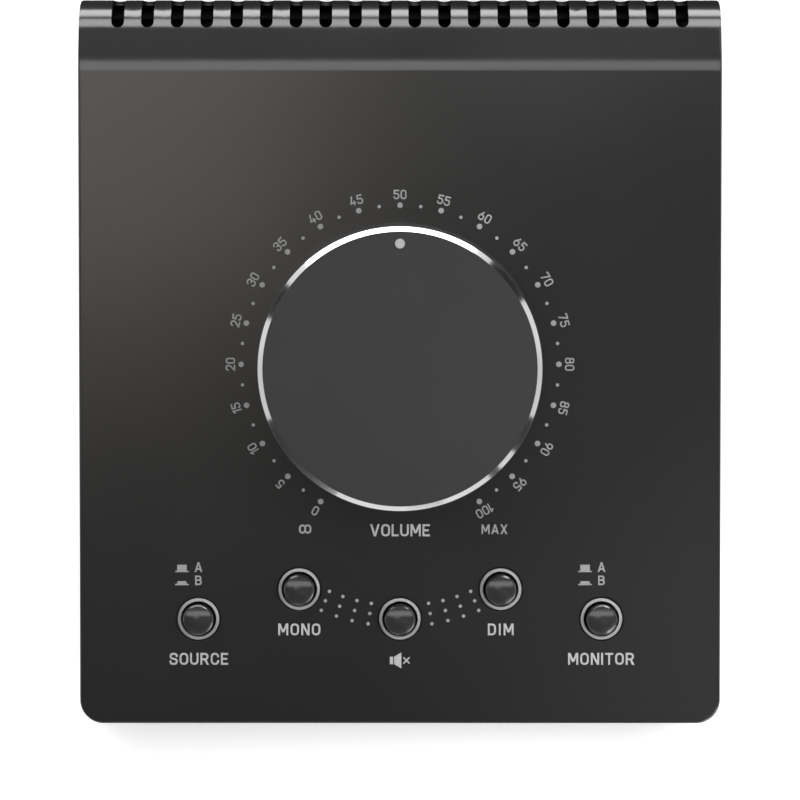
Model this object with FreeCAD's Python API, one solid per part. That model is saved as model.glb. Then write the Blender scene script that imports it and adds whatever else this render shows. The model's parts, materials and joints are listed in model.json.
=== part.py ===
"""Desk-top studio monitor controller: a wedge-shaped metal casing with one large volume knob, five push
buttons on the sloping panel, and the signal sockets on the rear panel.

Units are millimetres. X runs to the user's right, Y to the rear and Z up. The origin is on the table, in the
middle of the whole object's length and width.

Two local frames keep the numbers simple. The panel frame has its origin where the knob's axis meets the
panel's outer face: x to the right, y up the slope and z out of the panel. A socket frame has its origin on
the rear panel's outer face: z points backwards out of the casing, y up, x to the right seen from behind.
"""

import FreeCAD
import Part
import math
import os

# Casing: one sheet shell over a tray, with a separate rear panel
BODY_WIDTH = 118.2  # over the side walls
PANEL_SLOPE = 15.0  # degrees from level
PANEL_LENGTH = 121.8  # front edge to the fold, along the slope
STRIP_LENGTH = 6.4  # level strip from the fold to the rear bend
SHEET = 1.5
FOLD_RADIUS = 11.0  # outer radius of the fold between panel and strip
BEND_RADIUS = 7.6  # outer radius of the rear bend
CORNER_RADIUS = 4.4  # front corners, seen square to the panel
EDGE_RADIUS = 0.5  # broken outer edges of the shell
LIP_DROP = 2.0  # rear lip, below the end of the bend

# Vent slots across the rear bend
SLOT_COUNT = 20
SLOT_WIDTH = 2.35
SLOT_MARGIN = 6.01  # outer slots to the casing's sides
SLOT_TIP_SETBACK = 0.3  # front tip, behind the start of the bend
SLOT_TAIL_RISE = 0.5  # tail, above the end of the bend

# Tray, rear panel, feet and their screws
TRAY_SHEET = 1.2
TRAY_SIDE_HEIGHT = 9.0
TRAY_GAP = 0.2  # tray and rear panel to the shell
REAR_SHEET = 1.5
REAR_FLANGE_DEPTH = 8.0
REAR_TOP_GAP = 0.5  # rear panel's top edge below the end of the bend
LIP_GAP = 0.1  # rear panel behind the lip
FOOT_HEIGHT = 3.0
FOOT_RADIUS = 5.5
FOOT_TAPER = 0.6
FOOT_INSET = 8.5  # foot centre from the tray's edges
SIDE_SCREW_RADIUS = 1.25
SIDE_SCREW_HEAD_RADIUS = 2.35
SIDE_SCREW_LENGTH = 5.0
SIDE_SCREW_RISE = 4.4  # screw axis above the tray's top face
SIDE_SCREW_INSET = 10.0  # from the ends of the tray's sides
FLANGE_SCREW_RADIUS = 1.25
FLANGE_SCREW_HEAD_RADIUS = 2.4
FLANGE_SCREW_HEAD_HEIGHT = 1.4
FLANGE_SCREW_COUNT = 3
FLANGE_SCREW_INSET = 27.3  # outer screws from the tray's sides

# Gaps shared by all pieces
FIT_GAP = 0.03  # pieces that are pushed or glued together
SCREW_HOLE_GAP = 0.1

# Volume knob, on the potentiometer's shaft
DIAL_UP_SLOPE = 66.43  # knob axis from the panel's front edge
KNOB_HEIGHT = 20.7  # over the panel
KNOB_TOP_RADIUS = 25.57
KNOB_FLARE = 0.53  # foot's radius over the top's
KNOB_GAP = 1.2  # knob's foot to the panel
KNOB_WALL = 2.4
KNOB_WEB = 2.0  # thickness of the web under the ring
RING_CHAMFER = 0.97
RING_BAND = 0.2  # upright band below the ring's chamfer
RING_SEAT = 1.3  # ledge that carries the top disc
RING_FLOOR = 0.4  # thickness of that ledge
DISC_SINK = 0.05  # disc's face below the ring's inner rim
DISC_GAP = 0.05
POINTER_RADIUS = 0.87
POINTER_INSET = 2.17  # dot's centre from the ring's inner rim
POINTER_DEPTH = 0.4
POINTER_PROUD = 0.03
HUB_RADIUS = 7.0
HUB_GAP = 0.7  # hub over the bushing
INSERT_RADIUS = 4.5
INSERT_ROOF = 3.3  # plastic over the insert

# Potentiometer, held to the panel by its bushing and nut
SHAFT_RADIUS = 3.0
SHAFT_FLAT = 1.5  # flat of the D, from the axis
SHAFT_FLAT_LEAD = 0.3  # flat starts this far below the hub
SHAFT_END_GAP = 0.1
SHAFT_RUNNING_GAP = 0.05
BUSHING_RADIUS = 4.5
BUSHING_LENGTH = 5.4  # over the panel
BUSHING_FLANGE_RADIUS = 6.5
BUSHING_FLANGE = 1.0
BUSHING_HOLE_GAP = 0.2
NUT_ACROSS_FLATS = 12.0
NUT_HEIGHT = 2.2
WASHER_RADIUS = 7.5
WASHER_THICKNESS = 0.6
POT_SIZE = 22.0
POT_WALL = 1.5
WIPER_RADIUS = 7.5
WIPER_THICKNESS = 2.0  # over disc and fingers
FINGER_LENGTH = 2.0
FINGER_WIDTH = 1.2
FINGER_INSET = 0.5  # from the wiper's rim
TRACK_THICKNESS = 1.2
TRACK_GAP = 0.2  # wafer to the cavity's walls
WIPER_TRACK_GAP = 0.5

# Push buttons: places across and up the slope from the knob's axis
BUTTON_MARGIN = 21.95  # outer buttons' axes from the casing's sides
OUTER_BUTTON_X = BODY_WIDTH / 2 - BUTTON_MARGIN
INNER_BUTTON_X = OUTER_BUTTON_X / 2
LOW_BUTTON_Y = -47.0
HIGH_BUTTON_Y = -41.5
BUTTONS = {
    "source": (-OUTER_BUTTON_X, LOW_BUTTON_Y),
    "mono": (-INNER_BUTTON_X, HIGH_BUTTON_Y),
    "mute": (0.0, LOW_BUTTON_Y),
    "dim": (INNER_BUTTON_X, HIGH_BUTTON_Y),
    "monitor": (OUTER_BUTTON_X, LOW_BUTTON_Y),
}
CAP_RADIUS = 2.87
CAP_RISE = 3.1  # top of the dome over the panel
CAP_DOME_RADIUS = 6.6  # curvature of the cap's top
CAP_SHOULDER = 0.5  # rounded shoulder round the dome
CAP_ROOF = 3.3  # solid plastic over the stem
CAP_SKIRT = 3.0  # cap's lower end below the panel's outer face
BEZEL_GAP = 0.41
BEZEL_WALL = 0.54
BEZEL_PROUD = 0.15
BEZEL_HOLE_GAP = 0.3
BEZEL_FLANGE_RADIUS = 5.2
BEZEL_FLANGE = 1.2
PRESS_TRAVEL = 1.8
STEM_SIZE = 3.0
STEM_FOOT_SIZE = 4.8
STEM_FOOT_HEIGHT = 1.4
STEM_GAP = 0.08  # stem in the switch's cover, a sliding fit
STEM_FOOT_GAP = 0.5
STEM_SPARE = 1.72  # left under the stem's foot when pressed
SWITCH_SIZE = 8.4
SWITCH_WALL = 1.0
SPRING_STEM_GAP = 0.18  # wire to the stem's corners
SPRING_WIRE = 0.15  # radius of the wire
SPRING_TURNS = 5
SPRING_TOP_GAP = 0.3

# Boards
BOARD_DEPTH = 15.0  # control board's top face below the panel's outer face
BOARD_SHEET = 1.6
BOARD_SIDE_GAP = 4.5  # board to the shell's side walls
BOARD_FRONT_GAP = 4.5
BOARD_POT_MARGIN = 2.5  # board behind the potentiometer
STANDOFF_RADIUS = 2.75
STANDOFF_INSET = 4.5  # from the board's edges
BOARD_SCREW_RADIUS = 1.25
BOARD_SCREW_LENGTH = 6.0
BOARD_SCREW_HEAD_RADIUS = 2.5
BOARD_SCREW_HEAD_HEIGHT = 1.8
PIN_RADIUS = 0.4
PIN_TAIL = 1.0  # below the board
PIN_SPACING = 2.5
PIN_HOLE_GAP = 0.12
POT_PIN_SPACING = 5.0
POT_PIN_INSET = 2.5  # from the potentiometer's sides
RESISTOR_COUNT = 8
RESISTOR_PITCH = 9.0
RESISTOR_RADIUS = 1.15
RESISTOR_LENGTH = 6.3
RESISTOR_ROW_Y = -24.0
LEAD_SIZE = 0.55
LEAD_REACH = 1.2
HEADER_LENGTH = 17.8
HEADER_DEPTH = 6.0
HEADER_HEIGHT = 9.0
HEADER_X = -30.0
HEADER_EDGE_GAP = 1.0
SOCKET_HEADER_RISE = 14.0  # lower end over the table
RIBBON_WIDTH = 12.7
RIBBON_THICKNESS = 0.9
RIBBON_BEND = 3.5
RIBBON_INSET = 1.5  # ribbon's middle from the header's outer face

# Rear sockets
SOCKET_DEPTH = 25.5  # rear panel's outer face to the socket board
XLR_SIDE_GAP = 0.8  # outer sockets to the side walls
XLR_LIP_GAP = 0.2  # sockets' ears to the casing's lip
ROW_GAP = 0.7  # round sockets over the jacks
XLR_HOLE_GAP = 0.2
XLR_BARREL_RADIUS = 11.8
XLR_BODY_RADIUS = 12.6
XLR_PROUD = 1.0
XLR_FLANGE = 3.0
XLR_EAR_X = 9.5
XLR_EAR_Y = 12.0
XLR_EAR_RADIUS = 3.2
XLR_CUP_RADIUS = 9.7
XLR_CUP_DEPTH = 14.0
XLR_PIN_RADIUS = 1.2
XLR_PIN_CIRCLE = 4.4
XLR_PIN_LENGTH = 11.2
XLR_PIN_ANGLES = (28.0, 152.0, 270.0)
XLR_KEY_WIDTH = 3.0
XLR_KEY_DEPTH = 3.0
XLR_KEY_WALL = 0.8  # barrel's wall outside the key notch
COMBO_CORE_RADIUS = 7.6
COMBO_CORE_SINK = 0.8
COMBO_GROOVE_DEPTH = 12.0
CONTACT_WALL = 0.35
CONTACT_LENGTH = 8.0
CONTACT_SINK = 2.0
JACK_BORE_RADIUS = 3.2
JACK_BORE_LENGTH = 22.0
JACK_FLOOR_GAP = 0.1  # jacks over the rear panel's flange
JACK_SIDE_GAP = 4.5  # outer jack to the side wall
JACK_PITCH = 27.0
JACK_BODY_WIDTH = 13.0
JACK_BODY_HEIGHT = 12.4
JACK_BUSHING_RADIUS = 4.7
JACK_PROUD = 4.0
JACK_NUT_ACROSS_FLATS = 12.0
JACK_NUT_HEIGHT = 2.0
MINI_BORE_RADIUS = 1.8
MINI_BORE_LENGTH = 14.0
MINI_BODY_SIZE = 9.0
MINI_BUSHING_RADIUS = 2.9
MINI_PROUD = 2.8
MINI_NUT_ACROSS_FLATS = 8.0
MINI_NUT_HEIGHT = 1.6
BUSHING_PANEL_GAP = 0.1
NUT_THREAD_GAP = 0.05
BORE_CHAMFER = 0.5
SOCKET_SCREW_RADIUS = 1.45
SOCKET_SCREW_LENGTH = 5.0
SOCKET_SCREW_HEAD_RADIUS = 2.2
SOCKET_SCREW_HEAD_HEIGHT = 1.4
SOCKET_BOARD_RIM = 1.0  # socket board past the round sockets

# Screw heads, as shares of the head
RECESS_WIDTH = 0.35  # of the head's radius
RECESS_REACH = 0.55  # of the head's radius
RECESS_DEPTH = 0.65  # of the head's height
HEAD_ROUNDING = 0.6  # of the head's height

SLOPE = math.radians(PANEL_SLOPE)
HALF_WIDTH = BODY_WIDTH / 2
INNER_HALF_WIDTH = HALF_WIDTH - SHEET

# Heights of the side view: two rows of sockets stand on the tray and fill the rear up to the lip
TRAY_TOP_Z = FOOT_HEIGHT + TRAY_SHEET
JACK_ROW_HEIGHT = TRAY_TOP_Z + REAR_SHEET + JACK_FLOOR_GAP + JACK_BODY_HEIGHT / 2
XLR_ROW_HEIGHT = JACK_ROW_HEIGHT + JACK_BODY_HEIGHT / 2 + ROW_GAP + XLR_BODY_RADIUS
LIP_Z = XLR_ROW_HEIGHT + XLR_EAR_Y + XLR_EAR_RADIUS + XLR_LIP_GAP
BEND_END_Z = LIP_Z + LIP_DROP
TOP_Z = BEND_END_Z + BEND_RADIUS
FRONT_EDGE_HEIGHT = TOP_Z - PANEL_LENGTH * math.sin(SLOPE)  # table to the panel's front edge

# Lengths of the side view
BODY_DEPTH = PANEL_LENGTH * math.cos(SLOPE) + STRIP_LENGTH + BEND_RADIUS
REAR_RECESS = SHEET + LIP_GAP
FRONT_Y = -(BODY_DEPTH + JACK_PROUD - REAR_RECESS) / 2
REAR_Y = FRONT_Y + BODY_DEPTH
BEND_START_Y = REAR_Y - BEND_RADIUS
REAR_FACE_Y = REAR_Y - REAR_RECESS
DIAL_Y = FRONT_Y + DIAL_UP_SLOPE * math.cos(SLOPE)
DIAL_Z = FRONT_EDGE_HEIGHT + DIAL_UP_SLOPE * math.sin(SLOPE)
BEYOND = 1.0  # how far a cutting tool reaches past what it cuts

PANEL_PLACE = FreeCAD.Placement(
    FreeCAD.Vector(0, DIAL_Y, DIAL_Z), FreeCAD.Rotation(FreeCAD.Vector(1, 0, 0), PANEL_SLOPE)
)
REAR_TURN = FreeCAD.Rotation(
    FreeCAD.Vector(-1, 0, 0), FreeCAD.Vector(0, 0, 1), FreeCAD.Vector(0, 1, 0), "ZXY"
)


# ---- helpers ----


def cylinder(radius, bottom, top, x=0.0, y=0.0):
    """Upright cylinder between two heights."""
    return Part.makeCylinder(radius, top - bottom, FreeCAD.Vector(x, y, bottom))


def block(width, depth, bottom, top, x=0.0, y=0.0):
    """Upright block centred on x, y."""
    corner = FreeCAD.Vector(x - width / 2, y - depth / 2, bottom)
    return Part.makeBox(width, depth, top - bottom, corner)


def box_between(low, high):
    """Box between two opposite corners."""
    size = [b - a for a, b in zip(low, high)]
    return Part.makeBox(*size, FreeCAD.Vector(*low))


def hexagon(across_flats, bottom, top):
    """Upright hexagonal prism."""
    radius = across_flats / math.sqrt(3)
    corners = [
        FreeCAD.Vector(radius * math.cos(k * math.pi / 3), radius * math.sin(k * math.pi / 3), bottom)
        for k in range(7)
    ]
    return Part.Face(Part.makePolygon(corners)).extrude(FreeCAD.Vector(0, 0, top - bottom))


def lathe(outline):
    """Solid of revolution about Z from a closed outline of (radius, height) points."""
    points = [FreeCAD.Vector(r, 0, z) for r, z in outline]
    face = Part.Face(Part.makePolygon(points + points[:1]))
    return face.revolve(FreeCAD.Vector(0, 0, 0), FreeCAD.Vector(0, 0, 1), 360)


def rounded_face(corners, plane):
    """Flat face with straight sides and tangent arcs. corners are (a, b, radius); plane maps a, b to 3-D."""
    edges = []
    start = None
    first = None
    count = len(corners)
    for k in range(count):
        a, b, radius = corners[k]
        here = FreeCAD.Vector(a, b, 0)
        back = (FreeCAD.Vector(*corners[k - 1][:2], 0) - here).normalize()
        ahead = (FreeCAD.Vector(*corners[(k + 1) % count][:2], 0) - here).normalize()
        if radius > 0:
            half = back.getAngle(ahead) / 2
            reach = radius / math.tan(half)
            enter = here + back * reach
            leave = here + ahead * reach
            centre = here + (back + ahead).normalize() * (radius / math.sin(half))
            middle = centre + (here - centre).normalize() * radius
        else:
            enter = leave = here
        if start is not None:
            edges.append(Part.LineSegment(plane(start.x, start.y), plane(enter.x, enter.y)))
        if radius > 0:
            arc_points = [plane(p.x, p.y) for p in (enter, middle, leave)]
            edges.append(Part.Arc(*arc_points))
        first = enter if first is None else first
        start = leave
    edges.append(Part.LineSegment(plane(start.x, start.y), plane(first.x, first.y)))
    return Part.Face(Part.Wire([edge.toShape() for edge in edges]))


def flat(a, b):
    """Plane map for a face in X, Y."""
    return FreeCAD.Vector(a, b, 0)


def side_on(a, b):
    """Plane map for a face in Y, Z."""
    return FreeCAD.Vector(0, a, b)


def moved(shape, x=0.0, y=0.0, z=0.0):
    """Copy of a shape, moved."""
    copy = shape.copy()
    copy.translate(FreeCAD.Vector(x, y, z))
    return copy


def placed(shape, place):
    """Copy of a shape, carried by a placement."""
    copy = shape.copy()
    copy.Placement = place.multiply(copy.Placement)
    return copy


def on_panel(shape):
    """Shape from the panel frame to the object's frame."""
    return placed(shape, PANEL_PLACE)


def on_rear(shape, x, z):
    """Shape from the socket frame of a socket at x, z to the object's frame."""
    return placed(shape, FreeCAD.Placement(FreeCAD.Vector(x, REAR_FACE_Y, z), REAR_TURN))


def facing(shape, at, direction):
    """Shape whose +Z is turned to a direction and moved to a point."""
    turn = FreeCAD.Rotation(FreeCAD.Vector(0, 0, 1), FreeCAD.Vector(*direction))
    return placed(shape, FreeCAD.Placement(FreeCAD.Vector(*at), turn))


def cross_recess(radius, depth, top):
    """Cutting tool for a screw head's cross recess."""
    width = radius * RECESS_WIDTH
    arm = 2 * radius * RECESS_REACH
    across = block(arm, width, top - depth, top + BEYOND)
    along = block(width, arm, top - depth, top + BEYOND)
    return across.fuse(along)


def pan_screw(radius, length, head_radius, head_height):
    """Pan-head screw along -Z with the head's seat at zero."""
    head = cylinder(head_radius, 0, head_height)
    head = head.makeFillet(head_height * HEAD_ROUNDING, [edge_nearest(head, (head_radius, 0, head_height))])
    screw = head.fuse(cylinder(radius, -length, 0))
    return screw.cut(cross_recess(head_radius, head_height * RECESS_DEPTH, head_height)).removeSplitter()


def countersunk_screw(radius, length, head_radius):
    """Countersunk screw along -Z with the head's face at zero."""
    head_height = head_radius - radius
    cone = Part.makeCone(radius, head_radius, head_height, FreeCAD.Vector(0, 0, -head_height))
    screw = cone.fuse(cylinder(radius, -length, -head_height))
    return screw.cut(cross_recess(head_radius, head_height * RECESS_DEPTH, 0)).removeSplitter()


def evenly(outer, count):
    """Places from -outer to +outer, evenly spread."""
    return [outer * (2 * k / (count - 1) - 1) for k in range(count)]


def edge_nearest(shape, point):
    """Edge of a shape that comes nearest to a point."""
    vertex = Part.Vertex(*point)
    return min(shape.Edges, key=lambda edge: edge.distToShape(vertex)[0])


def save(name, *shapes):
    """Writes one node's STEP file from its solid or solids."""
    solids = [solid for shape in shapes for solid in shape.Solids]
    node = solids[0] if len(solids) == 1 else Part.makeCompound(solids)
    node.exportStep(f"parts/{name}.step")
    valid = all(solid.isValid() for solid in solids)
    print(f"{name}: {len(solids)} solid(s), {node.Volume:.1f} mm3{'' if valid else ' NOT VALID'}")


# ---- casing ----


def side_point(up_slope, out):
    """(y, z) of a point given in the panel frame."""
    y = DIAL_Y + up_slope * math.cos(SLOPE) - out * math.sin(SLOPE)
    z = DIAL_Z + up_slope * math.sin(SLOPE) + out * math.cos(SLOPE)
    return y, z


def front_wall_y(inset, z):
    """Y of the front wall's face, a distance inside the outer face, at a height."""
    y, top = side_point(inset - DIAL_UP_SLOPE, 0)
    return y + (top - z) * math.tan(SLOPE)


def side_view(inset, bottom, tail):
    """Corners of the shell's side view, inset from its outer faces. tail closes it behind."""
    fold_z = TOP_Z - inset
    fold_reach = (fold_z - DIAL_Z + inset * math.cos(SLOPE)) / math.sin(SLOPE)
    return [
        (front_wall_y(inset, bottom), bottom, 0),
        (*side_point(inset - DIAL_UP_SLOPE, -inset), 0),
        (*side_point(fold_reach, -inset), FOLD_RADIUS - inset),
        (REAR_Y - inset, fold_z, BEND_RADIUS - inset),
        *tail,
    ]


def wedge(inset, bottom, tail):
    """Solid wedge inside the shell's faces: the side view across the width, round at the front corners."""
    half = HALF_WIDTH - inset
    face = rounded_face(side_view(inset, bottom, tail), side_on)
    across = moved(face, x=-half).extrude(FreeCAD.Vector(2 * half, 0, 0))
    front = inset - DIAL_UP_SLOPE
    radius = CORNER_RADIUS - inset
    behind = BODY_DEPTH + BEYOND
    plan = [(-half, front, radius), (half, front, radius), (half, behind, 0), (-half, behind, 0)]
    depth = FRONT_EDGE_HEIGHT + TOP_Z
    outline = moved(rounded_face(plan, flat), z=-depth).extrude(FreeCAD.Vector(0, 0, 2 * depth))
    return across.common(on_panel(outline))


def vent_slot(x):
    """Cutting tool for one vent slot, round at both ends: the tip on the level strip, the tail behind."""
    radius = SLOT_WIDTH / 2
    tip_y = BEND_START_Y + SLOT_TIP_SETBACK + radius
    tail_z = BEND_END_Z + SLOT_TAIL_RISE + radius
    tip = cylinder(radius, tail_z, TOP_Z + BEYOND, x, tip_y)
    tail = facing(cylinder(radius, tip_y, REAR_Y + BEYOND), (x, 0, tail_z), (0, 1, 0))
    run = box_between((x - radius, tip_y, tail_z), (x + radius, REAR_Y + BEYOND, TOP_Z + BEYOND))
    return tip.fuse([tail, run])


def tray_side_span():
    """(front, rear) ends of the tray's upturned sides."""
    front = tray_front_y() + CORNER_RADIUS
    rear = REAR_FACE_Y - REAR_SHEET - TRAY_GAP
    return front, rear


def side_screw_places():
    """(y, z) of the screws in each side wall."""
    front, rear = tray_side_span()
    z = TRAY_TOP_Z + SIDE_SCREW_RISE
    return [(front + SIDE_SCREW_INSET, z), (rear - SIDE_SCREW_INSET, z)]


def side_screw_holes(radius, head_radius):
    """Cutting tools for the side screws, with countersinks in the outer faces."""
    tools = []
    for side in (-1, 1):
        for y, z in side_screw_places():
            shank = cylinder(radius, -SHEET - 2 * TRAY_SHEET, BEYOND)
            sink = Part.makeCone(radius, head_radius, head_radius - radius)
            sink = moved(sink, z=radius - head_radius)
            tools.append(facing(shank.fuse(sink), (side * HALF_WIDTH, y, z), (side, 0, 0)))
    return tools


def top_cover():
    """Sheet shell: sloping panel, fold, level strip, slotted rear bend, front wall and both side walls."""
    outer = wedge(0, FOOT_HEIGHT, [(REAR_Y, FOOT_HEIGHT, 0)])
    outer = outer.makeFillet(EDGE_RADIUS, [edge_nearest(outer, (0, FRONT_Y, FRONT_EDGE_HEIGHT))])
    under = FOOT_HEIGHT - BEYOND
    tail = [
        (REAR_Y - SHEET, LIP_Z, 0),
        (REAR_Y + BEYOND, LIP_Z, 0),
        (REAR_Y + BEYOND, under, 0),
    ]
    shell = outer.cut(wedge(SHEET, under, tail))
    tools = [vent_slot(x) for x in evenly(HALF_WIDTH - SLOT_MARGIN - SLOT_WIDTH / 2, SLOT_COUNT)]
    tools.append(on_panel(cylinder(BUSHING_RADIUS + BUSHING_HOLE_GAP, -SHEET - BEYOND, BEYOND)))
    for x, y in BUTTONS.values():
        hole = cylinder(bezel_radius() + BEZEL_HOLE_GAP, -SHEET - BEYOND, BEYOND, x, y)
        tools.append(on_panel(hole))
    tools += side_screw_holes(SIDE_SCREW_RADIUS + SCREW_HOLE_GAP, SIDE_SCREW_HEAD_RADIUS + SCREW_HOLE_GAP)
    return shell.cut(tools)


def tray_front_y():
    """Y of the tray's front edge, clear of the slanting front wall."""
    return front_wall_y(SHEET, FOOT_HEIGHT) + TRAY_GAP


def tray_half_width():
    """Half the width over the tray's sides."""
    return INNER_HALF_WIDTH - TRAY_GAP


def foot_places():
    """(x, y) of the four feet."""
    x = tray_half_width() - FOOT_INSET
    front = tray_front_y() + FOOT_INSET
    rear = REAR_FACE_Y - FOOT_INSET
    return [(sx * x, y) for sx in (-1, 1) for y in (front, rear)]


def flange_screw_places():
    """(x, y) of the screws that hold the rear panel's flange to the tray."""
    y = REAR_FACE_Y - REAR_SHEET - REAR_FLANGE_DEPTH / 2
    return [(x, y) for x in evenly(tray_half_width() - FLANGE_SCREW_INSET, FLANGE_SCREW_COUNT)]


def base_tray():
    """Bottom plate with its sides turned up inside the shell."""
    half = tray_half_width()
    front = tray_front_y()
    radius = CORNER_RADIUS - SHEET
    plan = [(-half, front, radius), (half, front, radius), (half, REAR_FACE_Y, 0), (-half, REAR_FACE_Y, 0)]
    plate = moved(rounded_face(plan, flat), z=FOOT_HEIGHT).extrude(FreeCAD.Vector(0, 0, TRAY_SHEET))
    side_front, side_rear = tray_side_span()
    top = TRAY_TOP_Z + TRAY_SIDE_HEIGHT
    for low, high in ((-half, TRAY_SHEET - half), (half - TRAY_SHEET, half)):
        plate = plate.fuse(box_between((low, side_front, FOOT_HEIGHT), (high, side_rear, top)))
    tools = side_screw_holes(SIDE_SCREW_RADIUS + SCREW_HOLE_GAP, SIDE_SCREW_RADIUS + SCREW_HOLE_GAP * 2)
    for x, y in flange_screw_places():
        tools.append(cylinder(FLANGE_SCREW_RADIUS + SCREW_HOLE_GAP, 0, TRAY_TOP_Z + BEYOND, x, y))
    return plate.cut(tools).removeSplitter()


def rear_panel():
    """Upright plate behind the lip, with a flange turned forward on to the tray."""
    half = INNER_HALF_WIDTH - TRAY_GAP
    inner_y = REAR_FACE_Y - REAR_SHEET
    plate = box_between((-half, inner_y, TRAY_TOP_Z), (half, REAR_FACE_Y, BEND_END_Z - REAR_TOP_GAP))
    flange_half = tray_half_width() - TRAY_SHEET - TRAY_GAP
    flange = box_between(
        (-flange_half, inner_y - REAR_FLANGE_DEPTH, TRAY_TOP_Z),
        (flange_half, REAR_FACE_Y, TRAY_TOP_Z + REAR_SHEET),
    )
    tools = []
    for x, y in flange_screw_places():
        tools.append(cylinder(FLANGE_SCREW_RADIUS + SCREW_HOLE_GAP, 0, BEND_END_Z / 2, x, y))
    depth = -REAR_SHEET - BEYOND
    for x in xlr_places():
        tools.append(on_rear(cylinder(XLR_BARREL_RADIUS + XLR_HOLE_GAP, depth, BEYOND), x, XLR_ROW_HEIGHT))
        for ear_x, ear_y in ear_places():
            hole = cylinder(SOCKET_SCREW_RADIUS + SCREW_HOLE_GAP, depth, BEYOND, ear_x, ear_y)
            tools.append(on_rear(hole, x, XLR_ROW_HEIGHT))
    for x in jack_places():
        hole = cylinder(JACK_BUSHING_RADIUS + BUSHING_PANEL_GAP, depth, BEYOND)
        tools.append(on_rear(hole, x, JACK_ROW_HEIGHT))
    hole = cylinder(MINI_BUSHING_RADIUS + BUSHING_PANEL_GAP, depth, BEYOND)
    tools.append(on_rear(hole, mini_jack_place(), JACK_ROW_HEIGHT))
    return plate.fuse(flange).removeSplitter().cut(tools)


def cover_screws():
    """Countersunk screws, flush in the side walls."""
    screw = countersunk_screw(SIDE_SCREW_RADIUS, SIDE_SCREW_LENGTH, SIDE_SCREW_HEAD_RADIUS)
    return [
        facing(screw, (side * HALF_WIDTH, y, z), (side, 0, 0))
        for side in (-1, 1)
        for y, z in side_screw_places()
    ]


def rear_panel_screws():
    """Short pan-head screws under the tray, into the rear panel's flange."""
    length = TRAY_SHEET + REAR_SHEET - SCREW_HOLE_GAP
    screw = pan_screw(FLANGE_SCREW_RADIUS, length, FLANGE_SCREW_HEAD_RADIUS, FLANGE_SCREW_HEAD_HEIGHT)
    return [facing(screw, (x, y, FOOT_HEIGHT), (0, 0, -1)) for x, y in flange_screw_places()]


def rubber_feet():
    """Four feet under the tray, each a short cone."""
    foot = Part.makeCone(FOOT_RADIUS - FOOT_TAPER, FOOT_RADIUS, FOOT_HEIGHT)
    return [moved(foot, x, y) for x, y in foot_places()]


# ---- volume knob ----


def knob_crown():
    """Height over the panel where the knob's body ends and the ring starts."""
    return KNOB_HEIGHT - RING_CHAMFER - RING_BAND


def hub_foot():
    """Height over the panel of the hub's lower end, just over the bushing."""
    return BUSHING_LENGTH + HUB_GAP


def insert_top():
    """Height over the panel of the insert's upper end, under the knob's roof."""
    return knob_crown() - INSERT_ROOF


def knob_body():
    """Hollow skirt, top web and the hub round the insert."""
    crown = knob_crown()
    web = crown - KNOB_WEB
    outer = [(0, KNOB_GAP), (KNOB_TOP_RADIUS + KNOB_FLARE, KNOB_GAP), (KNOB_TOP_RADIUS, crown), (0, crown)]
    inner_radius = KNOB_TOP_RADIUS - KNOB_WALL
    hollow = [(HUB_RADIUS, 0), (inner_radius, 0), (inner_radius, web), (HUB_RADIUS, web)]
    body = lathe(outer).cut(lathe(hollow)).cut(cylinder(HUB_RADIUS, 0, hub_foot()))
    return body.cut(cylinder(INSERT_RADIUS + FIT_GAP, 0, insert_top()))


def ring_inner_radius():
    """Radius of the trim ring's inner rim."""
    return KNOB_TOP_RADIUS - RING_CHAMFER


def pointer_offset():
    """Distance of the pointer dot from the knob's axis."""
    return ring_inner_radius() - POINTER_INSET


def knob_trim_ring():
    """Chamfered bright ring with a ledge for the top disc."""
    foot = knob_crown()
    inner = ring_inner_radius()
    seat = foot + RING_FLOOR
    return lathe(
        [
            (inner - RING_SEAT, foot),
            (KNOB_TOP_RADIUS, foot),
            (KNOB_TOP_RADIUS, foot + RING_BAND),
            (inner, KNOB_HEIGHT),
            (inner, seat),
            (inner - RING_SEAT, seat),
        ]
    )


def knob_top_disc():
    """Flat disc inside the ring, with a pocket for the pointer dot."""
    seat = knob_crown() + RING_FLOOR
    face = KNOB_HEIGHT - DISC_SINK
    disc = cylinder(ring_inner_radius() - DISC_GAP, seat, face)
    pocket = cylinder(POINTER_RADIUS + FIT_GAP, face - POINTER_DEPTH, face + BEYOND, 0, pointer_offset())
    return disc.cut(pocket)


def knob_pointer():
    """Round pointer dot, let into the disc."""
    face = KNOB_HEIGHT - DISC_SINK
    return cylinder(POINTER_RADIUS, face - POINTER_DEPTH, face + POINTER_PROUD, 0, pointer_offset())


def d_section(gap, bottom, top):
    """Upright D-shaped bar, grown by a gap."""
    radius = SHAFT_RADIUS + gap
    reach = radius + BEYOND
    cut_away = box_between((-reach, SHAFT_FLAT + gap, bottom - BEYOND), (reach, reach, top + BEYOND))
    return cylinder(radius, bottom, top).cut(cut_away)


def knob_insert():
    """Metal sleeve in the hub, with a D-shaped bore for the shaft."""
    bottom = hub_foot()
    top = insert_top()
    sleeve = cylinder(INSERT_RADIUS, bottom, top - FIT_GAP)
    return sleeve.cut(d_section(FIT_GAP, bottom - BEYOND, top + BEYOND))


# ---- potentiometer ----


def track_top():
    """Top of the track wafer, which lies on the floor of the housing's cavity, in the panel frame."""
    return POT_WALL + TRACK_THICKNESS - BOARD_DEPTH


def wiper_bottom():
    """Lower end of the wiper and the shaft: they hang a running gap over the track."""
    return track_top() + WIPER_TRACK_GAP


def pot_shaft():
    """Shaft from the wiper up into the knob, with a flat on its upper end."""
    round_top = hub_foot() - SHAFT_FLAT_LEAD
    shaft = cylinder(SHAFT_RADIUS, wiper_bottom(), round_top)
    return shaft.fuse(d_section(0, round_top, insert_top() - SHAFT_END_GAP)).removeSplitter()


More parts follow.
